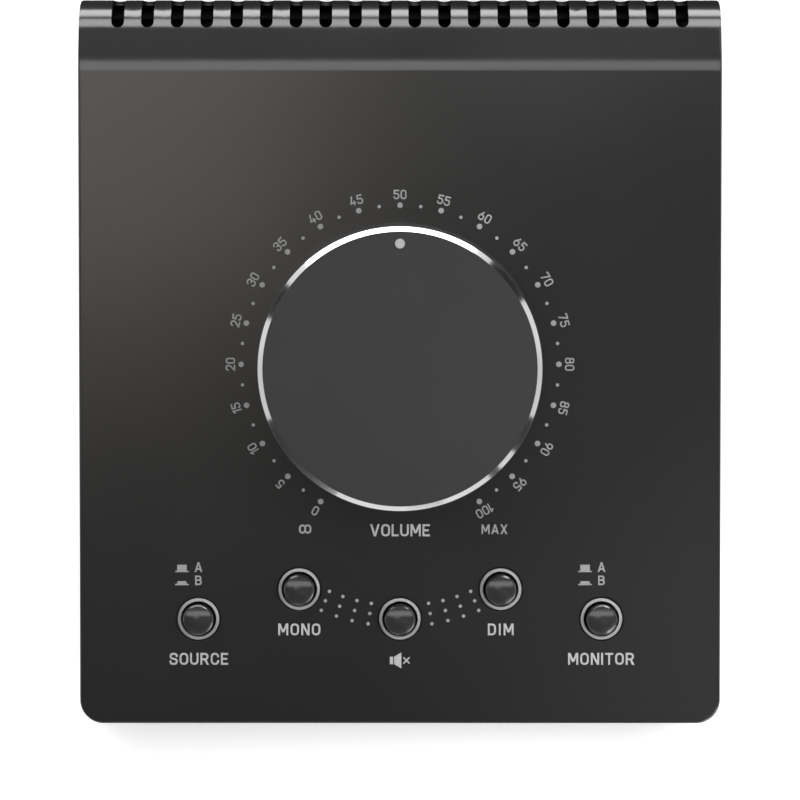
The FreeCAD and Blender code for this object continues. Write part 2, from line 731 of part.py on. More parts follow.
def pot_wiper():
    """Wiper disc fixed on the shaft, with two contact fingers beneath its rim."""
    bottom = wiper_bottom()
    middle = bottom + WIPER_THICKNESS / 2
    top = bottom + WIPER_THICKNESS
    disc = cylinder(WIPER_RADIUS, middle, top)
    finger_x = WIPER_RADIUS - FINGER_INSET - FINGER_LENGTH / 2
    for side in (-1, 1):
        disc = disc.fuse(block(FINGER_LENGTH, FINGER_WIDTH, bottom, middle, side * finger_x))
    return disc.cut(cylinder(SHAFT_RADIUS + FIT_GAP, bottom - BEYOND, top + BEYOND))


def pot_housing():
    """Square housing between the panel and the control board, hollow round the wiper."""
    body = block(POT_SIZE, POT_SIZE, -BOARD_DEPTH, -SHEET)
    ceiling = -SHEET - POT_WALL
    cavity_size = POT_SIZE - 2 * POT_WALL
    cavity = block(cavity_size, cavity_size, POT_WALL - BOARD_DEPTH, ceiling)
    mouth = cylinder(BUSHING_RADIUS + FIT_GAP, ceiling - BEYOND, 0)
    return body.cut(cavity).cut(mouth)


def pot_track():
    """Resistive track wafer on the floor of the housing's cavity."""
    top = track_top()
    size = POT_SIZE - 2 * POT_WALL - 2 * TRACK_GAP
    wafer = block(size, size, top - TRACK_THICKNESS, top)
    return wafer.cut(cylinder(SHAFT_RADIUS, top - TRACK_THICKNESS - BEYOND, top + BEYOND))


def pot_bushing():
    """Threaded bushing with a flange under the housing's roof and a running bore for the shaft."""
    flange_top = -SHEET - POT_WALL
    bushing = cylinder(BUSHING_RADIUS, flange_top - BUSHING_FLANGE, BUSHING_LENGTH)
    bushing = bushing.fuse(cylinder(BUSHING_FLANGE_RADIUS, flange_top - BUSHING_FLANGE, flange_top))
    bore = cylinder(
        SHAFT_RADIUS + SHAFT_RUNNING_GAP, flange_top - BUSHING_FLANGE - BEYOND, BUSHING_LENGTH + BEYOND
    )
    return bushing.cut(bore).removeSplitter()


def pot_washer():
    """Flat washer on the panel, round the bushing."""
    ring = cylinder(WASHER_RADIUS, 0, WASHER_THICKNESS)
    return ring.cut(cylinder(BUSHING_RADIUS + NUT_THREAD_GAP, -BEYOND, WASHER_THICKNESS + BEYOND))


def ring_nut(across_flats, height, thread_radius, bottom=0.0):
    """Hexagonal nut round a threaded bushing."""
    nut = hexagon(across_flats, bottom, bottom + height)
    return nut.cut(cylinder(thread_radius + NUT_THREAD_GAP, bottom - BEYOND, bottom + height + BEYOND))


def pot_nut():
    """Nut on the washer."""
    return ring_nut(NUT_ACROSS_FLATS, NUT_HEIGHT, BUSHING_RADIUS, WASHER_THICKNESS)


# ---- push buttons ----


def bezel_radius():
    """Outer radius of a button's bezel ring."""
    return CAP_RADIUS + BEZEL_GAP + BEZEL_WALL


def button_cap():
    """Domed cap with a rounded shoulder and a square socket for the switch's stem."""
    dome = Part.makeSphere(CAP_DOME_RADIUS)
    dome.rotate(FreeCAD.Vector(0, 0, 0), FreeCAD.Vector(1, 0, 0), 90)
    cap = cylinder(CAP_RADIUS, -CAP_SKIRT, CAP_RISE).common(moved(dome, z=CAP_RISE - CAP_DOME_RADIUS))
    cap = cap.makeFillet(CAP_SHOULDER, [edge_nearest(cap, (CAP_RADIUS, 0, CAP_RISE))])
    socket = STEM_SIZE + 2 * FIT_GAP
    return cap.cut(block(socket, socket, -CAP_SKIRT - BEYOND, stem_top() + FIT_GAP))


def stem_top():
    """Top of the switch's stem, inside the cap."""
    return CAP_RISE - CAP_ROOF


def switch_top():
    """Top face of a switch housing in the panel frame: it holds the stem's foot and the whole travel."""
    room = STEM_GAP + STEM_FOOT_HEIGHT + PRESS_TRAVEL + STEM_SPARE
    return room + 2 * SWITCH_WALL - BOARD_DEPTH


def button_stem():
    """Square stem from the cap into the switch, with a wider foot under the switch's cover."""
    foot_top = switch_top() - SWITCH_WALL - STEM_GAP
    stem = block(STEM_SIZE, STEM_SIZE, foot_top, stem_top())
    foot = block(STEM_FOOT_SIZE, STEM_FOOT_SIZE, foot_top - STEM_FOOT_HEIGHT, foot_top)
    return stem.fuse(foot).removeSplitter()


def switch_housing():
    """Switch box on the control board, open round the stem."""
    top = switch_top()
    cavity = STEM_FOOT_SIZE + 2 * STEM_FOOT_GAP
    box = block(SWITCH_SIZE, SWITCH_SIZE, -BOARD_DEPTH, top)
    box = box.cut(block(cavity, cavity, SWITCH_WALL - BOARD_DEPTH, top - SWITCH_WALL))
    opening = STEM_SIZE + 2 * STEM_GAP
    return box.cut(block(opening, opening, top - SWITCH_WALL - BEYOND, top + BEYOND))


def return_spring():
    """Coil spring round the stem, from the switch's cover to just under the cap."""
    bottom = switch_top() + SPRING_WIRE
    height = -CAP_SKIRT - SPRING_TOP_GAP - SPRING_WIRE - bottom
    radius = STEM_SIZE / math.sqrt(2) + SPRING_STEM_GAP + SPRING_WIRE
    helix = Part.makeHelix(height / SPRING_TURNS, height, radius)
    section = Part.makePolygon(
        [
            FreeCAD.Vector(radius + SPRING_WIRE * math.cos(turn), 0, SPRING_WIRE * math.sin(turn))
            for turn in [k * math.pi / 3 for k in range(7)]
        ]
    )
    coil = Part.Wire(helix.Edges).makePipeShell([section], True, True)
    return moved(coil, z=bottom)


def button_bezel():
    """Ring round a cap, held by a flange under the panel."""
    inner = CAP_RADIUS + BEZEL_GAP
    bottom = -SHEET - BEZEL_FLANGE
    ring = cylinder(bezel_radius(), bottom, BEZEL_PROUD)
    ring = ring.fuse(cylinder(BEZEL_FLANGE_RADIUS, bottom, -SHEET))
    return ring.cut(cylinder(inner, bottom - BEYOND, BEZEL_PROUD + BEYOND)).removeSplitter()


# ---- boards ----


def board_half_width():
    """Half the width of both boards."""
    return INNER_HALF_WIDTH - BOARD_SIDE_GAP


def board_front():
    """Control board's front edge in the panel frame."""
    return SHEET + BOARD_FRONT_GAP - DIAL_UP_SLOPE


def board_rear():
    """Control board's rear edge in the panel frame."""
    return POT_SIZE / 2 + BOARD_POT_MARGIN


def standoff_places():
    """(x, y) of the stand-offs in the panel frame."""
    x = board_half_width() - STANDOFF_INSET
    front = board_front() + STANDOFF_INSET
    rear = board_rear() - STANDOFF_INSET
    return [(side * x, y) for side in (-1, 1) for y in (front, rear)]


def pin_places():
    """(x, y) of every solder pin in the panel frame: six to a switch and six to the potentiometer."""
    columns = (-PIN_SPACING, 0, PIN_SPACING)
    places = []
    for x, y in BUTTONS.values():
        places += [(x + side * PIN_SPACING, y + step) for side in (-1, 1) for step in columns]
    edge = POT_SIZE / 2 - POT_PIN_INSET
    places += [(k * POT_PIN_SPACING, side * edge) for side in (-1, 1) for k in (-1, 0, 1)]
    return places


def control_board():
    """Board under the panel that carries the potentiometer and the five switches."""
    half = board_half_width()
    bottom = -BOARD_DEPTH - BOARD_SHEET
    board = box_between((-half, board_front(), bottom), (half, board_rear(), -BOARD_DEPTH))
    low = bottom - BEYOND
    high = BEYOND - BOARD_DEPTH
    tools = [cylinder(BOARD_SCREW_RADIUS + SCREW_HOLE_GAP, low, high, x, y) for x, y in standoff_places()]
    tools += [cylinder(PIN_RADIUS + PIN_HOLE_GAP, low, high, x, y) for x, y in pin_places()]
    return board.cut(tools)


def board_standoffs():
    """Round stand-offs between the panel and the control board, drilled for the screws."""
    post = cylinder(STANDOFF_RADIUS, -BOARD_DEPTH, -SHEET)
    depth = BOARD_SCREW_LENGTH - BOARD_SHEET + BEYOND
    post = post.cut(cylinder(BOARD_SCREW_RADIUS + SCREW_HOLE_GAP, -BOARD_DEPTH - BEYOND, depth - BOARD_DEPTH))
    return [moved(post, x, y) for x, y in standoff_places()]


def board_screws():
    """Pan-head screws from below, through the board into the stand-offs."""
    screw = pan_screw(
        BOARD_SCREW_RADIUS, BOARD_SCREW_LENGTH, BOARD_SCREW_HEAD_RADIUS, BOARD_SCREW_HEAD_HEIGHT
    )
    seat = -BOARD_DEPTH - BOARD_SHEET
    return [facing(screw, (x, y, seat), (0, 0, -1)) for x, y in standoff_places()]


def solder_pins():
    """Pins of the switches and the potentiometer, through the board."""
    pin = cylinder(PIN_RADIUS, -BOARD_DEPTH - BOARD_SHEET - PIN_TAIL, -BOARD_DEPTH)
    return [moved(pin, x, y) for x, y in pin_places()]


def resistor():
    """Resistor lying along Y on its bent leads, with the board's face at zero."""
    axis_z = RESISTOR_RADIUS
    half = RESISTOR_LENGTH / 2
    end = half + LEAD_REACH
    body = facing(cylinder(RESISTOR_RADIUS, -half, half), (0, 0, axis_z), (0, 1, 0))
    body = body.fuse(block(LEAD_SIZE, 2 * end, axis_z - LEAD_SIZE / 2, axis_z + LEAD_SIZE / 2))
    for side in (-1, 1):
        body = body.fuse(block(LEAD_SIZE, LEAD_SIZE, 0, axis_z, 0, side * (end - LEAD_SIZE / 2)))
    return body.removeSplitter()


def resistors():
    """Row of resistors between the buttons and the potentiometer."""
    outer = (RESISTOR_COUNT - 1) / 2 * RESISTOR_PITCH
    return [moved(resistor(), x, RESISTOR_ROW_Y, -BOARD_DEPTH) for x in evenly(outer, RESISTOR_COUNT)]


def socket_board():
    """Upright board that carries the rear sockets."""
    half = board_half_width()
    front = REAR_FACE_Y - SOCKET_DEPTH - BOARD_SHEET
    bottom = JACK_ROW_HEIGHT - JACK_BODY_HEIGHT / 2
    top = XLR_ROW_HEIGHT + XLR_BODY_RADIUS + SOCKET_BOARD_RIM
    return box_between((-half, front, bottom), (half, front + BOARD_SHEET, top))


def header_row_y():
    """Middle of the control board's header in the panel frame."""
    return board_rear() - HEADER_EDGE_GAP - HEADER_DEPTH / 2


def socket_header_front():
    """Y of the socket header's front face."""
    return REAR_FACE_Y - SOCKET_DEPTH - BOARD_SHEET - HEADER_HEIGHT


def ribbon_headers():
    """The two cable headers, each with its plug on."""
    low = HEADER_HEIGHT - BOARD_DEPTH
    on_control = block(HEADER_LENGTH, HEADER_DEPTH, -BOARD_DEPTH, low, HEADER_X, header_row_y())
    front = socket_header_front()
    on_socket = box_between(
        (HEADER_X - HEADER_LENGTH / 2, front, SOCKET_HEADER_RISE),
        (HEADER_X + HEADER_LENGTH / 2, front + HEADER_HEIGHT, SOCKET_HEADER_RISE + HEADER_DEPTH),
    )
    return [on_panel(on_control), on_socket]


def ribbon_cable():
    """Flat cable from header to header: up the slope, over one bend, straight down."""
    half = RIBBON_THICKNESS / 2
    level = HEADER_HEIGHT - BOARD_DEPTH - RIBBON_INSET
    start = header_row_y() + HEADER_DEPTH / 2
    end_y = socket_header_front() + RIBBON_INSET
    end_z = SOCKET_HEADER_RISE + HEADER_DEPTH
    corners = []
    for side in (1, -1):
        y0, z0 = side_point(start, level + side * half)
        y1 = end_y + side * half
        z1 = z0 + (y1 - y0) * math.tan(SLOPE)
        radius = RIBBON_BEND + side * half
        stretch = [(y0, z0, 0), (y1, z1, radius), (y1, end_z, 0)]
        corners += stretch if side == 1 else stretch[::-1]
    face = rounded_face(corners, side_on)
    left = HEADER_X - RIBBON_WIDTH / 2
    return moved(face, x=left).extrude(FreeCAD.Vector(RIBBON_WIDTH, 0, 0))


# ---- rear sockets ----


def xlr_places():
    """X of the four round sockets: two outputs to the left, two inputs to the right, seen from behind."""
    reach = max(XLR_BODY_RADIUS, XLR_EAR_X + XLR_EAR_RADIUS)
    return evenly(INNER_HALF_WIDTH - XLR_SIDE_GAP - reach, 4)


def jack_places():
    """X of the two output jacks."""
    outer = INNER_HALF_WIDTH - JACK_SIDE_GAP - JACK_BODY_WIDTH / 2
    return [outer - JACK_PITCH, outer]


def mini_jack_place():
    """X of the small jack, midway between the lower ears of the two inputs."""
    in_left, in_right = xlr_places()[:2]
    return (in_left + in_right) / 2 - XLR_EAR_X


def ear_places():
    """(x, y) of a round socket's two screws in the socket frame."""
    return [(-XLR_EAR_X, XLR_EAR_Y), (XLR_EAR_X, -XLR_EAR_Y)]


def round_socket_shell():
    """Body that the round sockets share: barrel through the panel, eared flange, then back to the board."""
    shell = cylinder(XLR_BARREL_RADIUS, -REAR_SHEET - XLR_FLANGE, XLR_PROUD)
    shell = shell.makeFillet(BORE_CHAMFER, [edge_nearest(shell, (XLR_BARREL_RADIUS, 0, XLR_PROUD))])
    shell = shell.fuse(cylinder(XLR_BODY_RADIUS, -SOCKET_DEPTH, -REAR_SHEET))
    flange_low = -REAR_SHEET - XLR_FLANGE
    reach = 2 * math.hypot(XLR_EAR_X, XLR_EAR_Y)
    web = block(reach, 2 * XLR_EAR_RADIUS, flange_low, -REAR_SHEET)
    tilt = math.degrees(math.atan2(XLR_EAR_Y, XLR_EAR_X))
    web.rotate(FreeCAD.Vector(0, 0, 0), FreeCAD.Vector(0, 0, 1), -tilt)
    shell = shell.fuse(web)
    for x, y in ear_places():
        shell = shell.fuse(cylinder(XLR_EAR_RADIUS, flange_low, -REAR_SHEET, x, y))
    for x, y in ear_places():
        hole = cylinder(SOCKET_SCREW_RADIUS + SCREW_HOLE_GAP, flange_low - BEYOND, 0, x, y)
        shell = shell.cut(hole)
    return shell.removeSplitter()


def bore_with_chamfer(radius, length, mouth):
    """Cutting tool for a bore with a chamfered mouth."""
    lead = Part.makeCone(radius, radius + BORE_CHAMFER + BEYOND, BORE_CHAMFER + BEYOND)
    return cylinder(radius, mouth - length, mouth + BEYOND).fuse(moved(lead, z=mouth - BORE_CHAMFER))


def combo_socket():
    """Input socket for either plug: a core with a jack bore and three contact holes, in a round groove."""
    face = XLR_PROUD - COMBO_CORE_SINK
    floor = XLR_PROUD - COMBO_GROOVE_DEPTH
    groove = cylinder(XLR_CUP_RADIUS, floor, XLR_PROUD + BEYOND)
    groove = groove.cut(cylinder(COMBO_CORE_RADIUS, floor - BEYOND, face))
    socket = round_socket_shell().cut(groove)
    socket = socket.cut(bore_with_chamfer(JACK_BORE_RADIUS, JACK_BORE_LENGTH, face))
    for x, y in combo_contact_places():
        depth = face - CONTACT_SINK - CONTACT_LENGTH
        socket = socket.cut(cylinder(XLR_PIN_RADIUS, depth, face + BEYOND, x, y))
    return socket


def combo_contact_places():
    """(x, y) of an input's contact holes, midway between the jack bore and the core's edge."""
    return circle_places((JACK_BORE_RADIUS + COMBO_CORE_RADIUS) / 2)


def circle_places(radius):
    """(x, y) of three contacts on a circle in the socket frame."""
    angles = [math.radians(angle) for angle in XLR_PIN_ANGLES]
    return [(radius * math.cos(angle), radius * math.sin(angle)) for angle in angles]


def xlr_output():
    """Output socket: a cup round three pins, with a key notch in its rim."""
    socket = round_socket_shell().cut(cylinder(XLR_CUP_RADIUS, XLR_PROUD - XLR_CUP_DEPTH, XLR_PROUD + BEYOND))
    low = XLR_CUP_RADIUS - BEYOND
    high = XLR_BARREL_RADIUS - XLR_KEY_WALL
    bottom = XLR_PROUD - XLR_KEY_DEPTH
    notch = block(XLR_KEY_WIDTH, high - low, bottom, XLR_PROUD + BEYOND, 0, (low + high) / 2)
    return socket.cut(notch)


def xlr_pins():
    """Three round-ended pins of one output socket, standing on the floor of its cup."""
    floor = XLR_PROUD - XLR_CUP_DEPTH
    pin = cylinder(XLR_PIN_RADIUS, floor, floor + XLR_PIN_LENGTH)
    pin = pin.makeFillet(XLR_PIN_RADIUS / 2, [edge_nearest(pin, (XLR_PIN_RADIUS, 0, floor + XLR_PIN_LENGTH))])
    return Part.makeCompound([moved(pin, x, y) for x, y in circle_places(XLR_PIN_CIRCLE)])


def combo_contacts():
    """Three sleeve contacts of one input socket, in its contact holes."""
    top = XLR_PROUD - COMBO_CORE_SINK - CONTACT_SINK
    radius = XLR_PIN_RADIUS - FIT_GAP
    sleeve = cylinder(radius, top - CONTACT_LENGTH, top)
    sleeve = sleeve.cut(cylinder(radius - CONTACT_WALL, top - CONTACT_LENGTH + CONTACT_WALL, top + BEYOND))
    return Part.makeCompound([moved(sleeve, x, y) for x, y in combo_contact_places()])


def panel_jack(width, height, bushing_radius, proud, bore_radius, bore_length):
    """Jack with a threaded bushing through the panel and a block back to the board."""
    body = block(width, height, -SOCKET_DEPTH, -REAR_SHEET)
    body = body.fuse(cylinder(bushing_radius, -REAR_SHEET - BEYOND, proud))
    return body.cut(bore_with_chamfer(bore_radius, bore_length, proud)).removeSplitter()


def output_jack():
    """6.35 mm output jack."""
    return panel_jack(
        JACK_BODY_WIDTH, JACK_BODY_HEIGHT, JACK_BUSHING_RADIUS, JACK_PROUD, JACK_BORE_RADIUS, JACK_BORE_LENGTH
    )


def mini_jack():
    """3.5 mm input jack."""
    return panel_jack(
        MINI_BODY_SIZE, MINI_BODY_SIZE, MINI_BUSHING_RADIUS, MINI_PROUD, MINI_BORE_RADIUS, MINI_BORE_LENGTH
    )


def socket_screws():
    """Pan-head screws through the rear panel into the round sockets' ears."""
    screw = pan_screw(
        SOCKET_SCREW_RADIUS, SOCKET_SCREW_LENGTH, SOCKET_SCREW_HEAD_RADIUS, SOCKET_SCREW_HEAD_HEIGHT
    )
    return [
        on_rear(moved(screw, ear_x, ear_y), x, XLR_ROW_HEIGHT)
        for x in xlr_places()
        for ear_x, ear_y in ear_places()
    ]


# ---- the whole object ----


def save_casing():
    save("top_cover", top_cover())
    save("base_tray", base_tray())
    save("rear_panel", rear_panel())
    save("cover_screws", *cover_screws())
    save("rear_panel_screws", *rear_panel_screws())
    save("rubber_feet", *rubber_feet())


def save_knob():
    for piece in (knob_body, knob_trim_ring, knob_top_disc, knob_pointer, knob_insert):
        save(piece.__name__, on_panel(piece()))


def save_potentiometer():
    for piece in (pot_shaft, pot_wiper, pot_housing, pot_track, pot_bushing, pot_washer, pot_nut):
        save(piece.__name__, on_panel(piece()))


def save_buttons():
    pieces = {
        "cap": button_cap(),
        "stem": button_stem(),
        "switch": switch_housing(),
        "spring": return_spring(),
    }
    for button, (x, y) in BUTTONS.items():
        for piece, shape in pieces.items():
            save(f"{button}_{piece}", on_panel(moved(shape, x, y)))
    bezel = button_bezel()
    save("button_bezels", *[on_panel(moved(bezel, x, y)) for x, y in BUTTONS.values()])


def save_boards():
    save("control_board", on_panel(control_board()))
    for group in (board_standoffs, board_screws, solder_pins, resistors):
        save(group.__name__, *[on_panel(shape) for shape in group()])
    save("socket_board", socket_board())
    save("ribbon_headers", *ribbon_headers())
    save("ribbon_cable", ribbon_cable())


def save_sockets():
    in_left, in_right, out_left, out_right = xlr_places()
    combo, contacts, output, pins = combo_socket(), combo_contacts(), xlr_output(), xlr_pins()
    save("combo_input_left", on_rear(combo, in_left, XLR_ROW_HEIGHT))
    save("combo_input_right", on_rear(combo, in_right, XLR_ROW_HEIGHT))
    save("combo_contacts", *[on_rear(contacts, x, XLR_ROW_HEIGHT) for x in (in_left, in_right)])
    save("xlr_output_left", on_rear(output, out_left, XLR_ROW_HEIGHT))
    save("xlr_output_right", on_rear(output, out_right, XLR_ROW_HEIGHT))
    save("xlr_pins", *[on_rear(pins, x, XLR_ROW_HEIGHT) for x in (out_left, out_right)])
    jack, nut = output_jack(), ring_nut(JACK_NUT_ACROSS_FLATS, JACK_NUT_HEIGHT, JACK_BUSHING_RADIUS)
    left, right = jack_places()
    save("jack_output_left", on_rear(jack, left, JACK_ROW_HEIGHT))
    save("jack_output_right", on_rear(jack, right, JACK_ROW_HEIGHT))
    save("jack_nuts", *[on_rear(nut, x, JACK_ROW_HEIGHT) for x in (left, right)])
    small_nut = ring_nut(MINI_NUT_ACROSS_FLATS, MINI_NUT_HEIGHT, MINI_BUSHING_RADIUS)
    save("mini_jack_input", on_rear(mini_jack(), mini_jack_place(), JACK_ROW_HEIGHT))
    save("mini_jack_nut", on_rear(small_nut, mini_jack_place(), JACK_ROW_HEIGHT))
    save("socket_screws", *socket_screws())


os.makedirs("parts", exist_ok=True)
save_casing()
save_knob()
save_potentiometer()
save_buttons()
save_boards()
save_sockets()
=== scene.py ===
"""The look of the studio monitor controller: finishes, panel print, a plain studio and the camera."""

import json
import math

import bpy
from mathutils import Matrix, Vector
from mathutils.geometry import delaunay_2d_cdt


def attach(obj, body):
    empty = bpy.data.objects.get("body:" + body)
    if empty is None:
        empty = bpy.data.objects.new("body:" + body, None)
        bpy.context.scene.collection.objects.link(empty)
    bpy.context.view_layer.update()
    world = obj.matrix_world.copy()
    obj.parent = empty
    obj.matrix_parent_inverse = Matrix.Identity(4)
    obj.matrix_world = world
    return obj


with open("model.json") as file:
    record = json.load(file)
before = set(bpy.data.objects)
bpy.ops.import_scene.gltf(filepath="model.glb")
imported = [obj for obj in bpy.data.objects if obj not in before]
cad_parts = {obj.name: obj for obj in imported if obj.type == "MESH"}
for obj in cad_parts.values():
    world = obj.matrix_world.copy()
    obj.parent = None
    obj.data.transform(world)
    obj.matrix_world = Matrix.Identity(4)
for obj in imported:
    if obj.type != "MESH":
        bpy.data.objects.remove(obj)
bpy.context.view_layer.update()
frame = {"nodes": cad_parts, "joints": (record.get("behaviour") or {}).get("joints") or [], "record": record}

MM = 0.001
MICRON = 0.000001

# The panel's own frame: its origin is the dial centre, x runs right, y up the slope and z out of the face.
knob_joint = next(j for j in frame["joints"] if j["name"] == "volume_turn")
DIAL = Vector(knob_joint["pos_m"])
OUT = -Vector(knob_joint["axis"])
RIGHT = Vector((1, 0, 0))
UP = OUT.cross(RIGHT)
SLOPE = math.acos(OUT.z)

# The rear bend's outer face: a quarter round along x.
BEND_CENTRE = (0, 57.025 * MM, 48.9 * MM)
BEND_RADIUS = 7.6 * MM
BEND_FACE = 0.6 * MM  # points no further than this under the outer face belong to it
BEND_FADE = 0.2 * MM  # and over this much more they stop belonging to it
SLOTTED_HALF = 55 * MM  # the slots lie within this, either side of the middle

KNOB_TOP_RADIUS = 25.57 * MM  # outer edge of the knob's bright ring
RING_SHADE_WIDTH = 0.12 * MM  # how far the painted dark rim, painted shade, reaches in over that edge
RING_SHADE_FADE = 0.03 * MM

BEZEL_SHADE_DEPTH = 0.3 * MM  # the bezels' sides are painted black from here down, under the panel's face: painted shade in the gap round them
BEZEL_SHADE_FADE = 0.1 * MM

WEAR_STARTS = 0.985  # cosine between the rounded and the true normal where an edge starts to wear
WEAR_FULL = 0.88  # and where the wear is full

RIBBON_PITCH = 1.27 * MM
WAVE_TURN = 20  # a wave texture turns by this many radians per unit


def grey(level):
    return (level, level, level)


def placed_at(point, x, y, z):
    """The matrix that moves the world's origin to a point and turns its axes into x, y and z."""
    return Matrix.Translation(point) @ Matrix((x, y, z)).transposed().to_4x4()


# ---------------------------------------------------------------- finishes


class Finish:
    """One Principled material, with helpers that add procedural detail in the piece's own coordinates."""

    def __init__(self, slot, colour, roughness, metallic=0.0, specular=0.5):
        self.material = bpy.data.materials.new(slot + "_finish")
        self.material.use_nodes = True
        self.nodes = self.material.node_tree.nodes
        self.links = self.material.node_tree.links
        self.shader = self.nodes["Principled BSDF"]
        self.colour = colour
        self.roughness = roughness
        self.shader.inputs["Base Color"].default_value = (*colour, 1)
        self.shader.inputs["Roughness"].default_value = roughness
        self.shader.inputs["Metallic"].default_value = metallic
        self.shader.inputs["Specular IOR Level"].default_value = specular

    def feed(self, socket, value):
        """Gives a socket a number, a vector or another node's output."""
        if isinstance(value, bpy.types.NodeSocket):
            self.links.new(value, socket)
        else:
            socket.default_value = value

    def node(self, kind, **inputs):
        """A new node, with the named inputs fed."""
        made = self.nodes.new("ShaderNode" + kind)
        for name, value in inputs.items():
            self.feed(made.inputs[name], value)
        return made

    def operate(self, kind, operation, a, b):
        """The outputs of a math or vector math node."""
        made = self.node(kind)
        made.operation = operation
        self.feed(made.inputs[0], a)
        self.feed(made.inputs[1], b)
        return made.outputs

    def math(self, operation, a, b=0.0):
        """A number worked out from one or two numbers."""
        return self.operate("Math", operation, a, b)[0]

    def vector(self, operation, a, b=(0, 0, 0)):
        """A vector, or a number where the operation is a length or a dot product."""
        number = operation in ("LENGTH", "DOT_PRODUCT")
        return self.operate("VectorMath", operation, a, b)["Value" if number else "Vector"]

    def mix(self, data_type, share, a, b):
        """From a to b, as share goes from 0 to 1."""
        made = self.nodes.new("ShaderNodeMix")
        made.data_type = data_type
        for name, value in (("Factor", share), ("A", a), ("B", b)):
            self.feed(made.inputs[name], value)
        return made.outputs["Result"]

    def split(self, where):
        """The three coordinates of a vector."""
        return tuple(self.node("SeparateXYZ", Vector=where).outputs)

    def place(self, stretch=(1, 1, 1)):
        """Coordinates in metres that stay with the piece, scaled by stretch."""
        where = self.node("TexCoord").outputs["Object"]
        return self.node("Mapping", Vector=where, Scale=stretch).outputs[0]

    def panel_place(self):
        """Coordinates in the panel's frame, so that z runs along the knob's and the buttons' axes."""
        where = self.node("TexCoord").outputs["Object"]
        turn = Matrix.Rotation(-SLOPE, 3, "X")
        made = self.node("Mapping", Vector=where, Location=-(turn @ DIAL), Rotation=(-SLOPE, 0, 0))
        return made.outputs[0]

    def noise(self, scale, detail=2.0, where=None):
        """Noise with about scale waves per metre."""
        where = self.place() if where is None else where
        return self.node("TexNoise", Vector=where, Scale=scale, Detail=detail).outputs[0]

    def radius(self, where):
        """The distance from the axis z."""
        return self.vector("LENGTH", self.vector("MULTIPLY", where, (1, 1, 0)))

    def rings(self, scale, where, along_axis=False):
        """Lathe marks: noise that changes only with the radius from the axis z, or only along it."""
        reach = self.split(where)[2] if along_axis else self.radius(where)
        made = self.node("TexNoise", Scale=1.0, Detail=3.0)
        made.noise_dimensions = "1D"
        self.links.new(self.math("MULTIPLY", reach, scale), made.inputs["W"])
        return made.outputs[0]

    def ramp(self, value, start, end, low=0.0, high=1.0):
        """Maps the range start to end to the range low to high, and holds its ends."""
        ends = {"From Min": start, "From Max": end, "To Min": low, "To Max": high}
        return self.node("MapRange", Value=value, **ends).outputs[0]

    def spread(self, value, low, high):
        """Maps noise, which mostly lies between 0.3 and 0.7, to the range low to high."""
        return self.ramp(value, 0.3, 0.7, low, high)

    def source(self, name):
        """The output that already feeds one of the shader's inputs."""
        return self.shader.inputs[name].links[0].from_socket

    def drive(self, name, value):
        """Lets an output feed one of the shader's inputs."""
        self.links.new(value, self.shader.inputs[name])

    def shade(self, share, dark, light):
        """Colours the surface dark to light, as share says."""
        self.drive("Base Color", self.mix("RGBA", share, (*dark, 1), (*light, 1)))

    def mottle(self, value, amount):
        """Lightens and darkens the base colour by amount, as the noise says."""
        darker, lighter = ([part * (1 + change) for part in self.colour] for change in (-amount, amount))
        self.shade(self.spread(value, 0, 1), darker, lighter)

    def cover(self, share, colour):
        """Lays that share of a colour over the colours so far."""
        self.drive("Base Color", self.mix("RGBA", share, self.source("Base Color"), (*colour, 1)))

    def polish(self, value, amount):
        """Varies the roughness by amount either way."""
        self.drive("Roughness", self.spread(value, self.roughness - amount, self.roughness + amount))

    def roughen(self, value):
        """Makes the surface at least as rough as value."""
        self.drive("Roughness", self.math("MAXIMUM", self.source("Roughness"), value))

    def relief(self, value, depth):
        """Raises the surface by value, depth metres at most. Later calls add to earlier ones."""
        made = self.node("Bump", Strength=1.0, Distance=depth, Height=value)
        if self.shader.inputs["Normal"].is_linked:
            self.links.new(self.source("Normal"), made.inputs["Normal"])
        self.drive("Normal", made.outputs[0])

    def bevel(self, radius):
        """The normal as if sharp edges were rounded."""
        made = self.node("Bevel", Radius=radius)
        made.samples = 4
        return made.outputs[0]

    def soften_edges(self, radius):
        """Rounds the shading of sharp edges."""
        self.drive("Normal", self.bevel(radius))

    def wear_edges(self, radius, worn):
        """Shows the worn colour in patches along sharp edges, where a rounded normal leaves the true one."""
        true_normal = self.node("NewGeometry").outputs["Normal"]
        agreement = self.vector("DOT_PRODUCT", self.bevel(radius), true_normal)
        edge = self.ramp(agreement, WEAR_STARTS, WEAR_FULL)
        patches = self.spread(self.noise(900, 4), 0, 1)
        self.cover(self.math("MULTIPLY", edge, patches), worn)

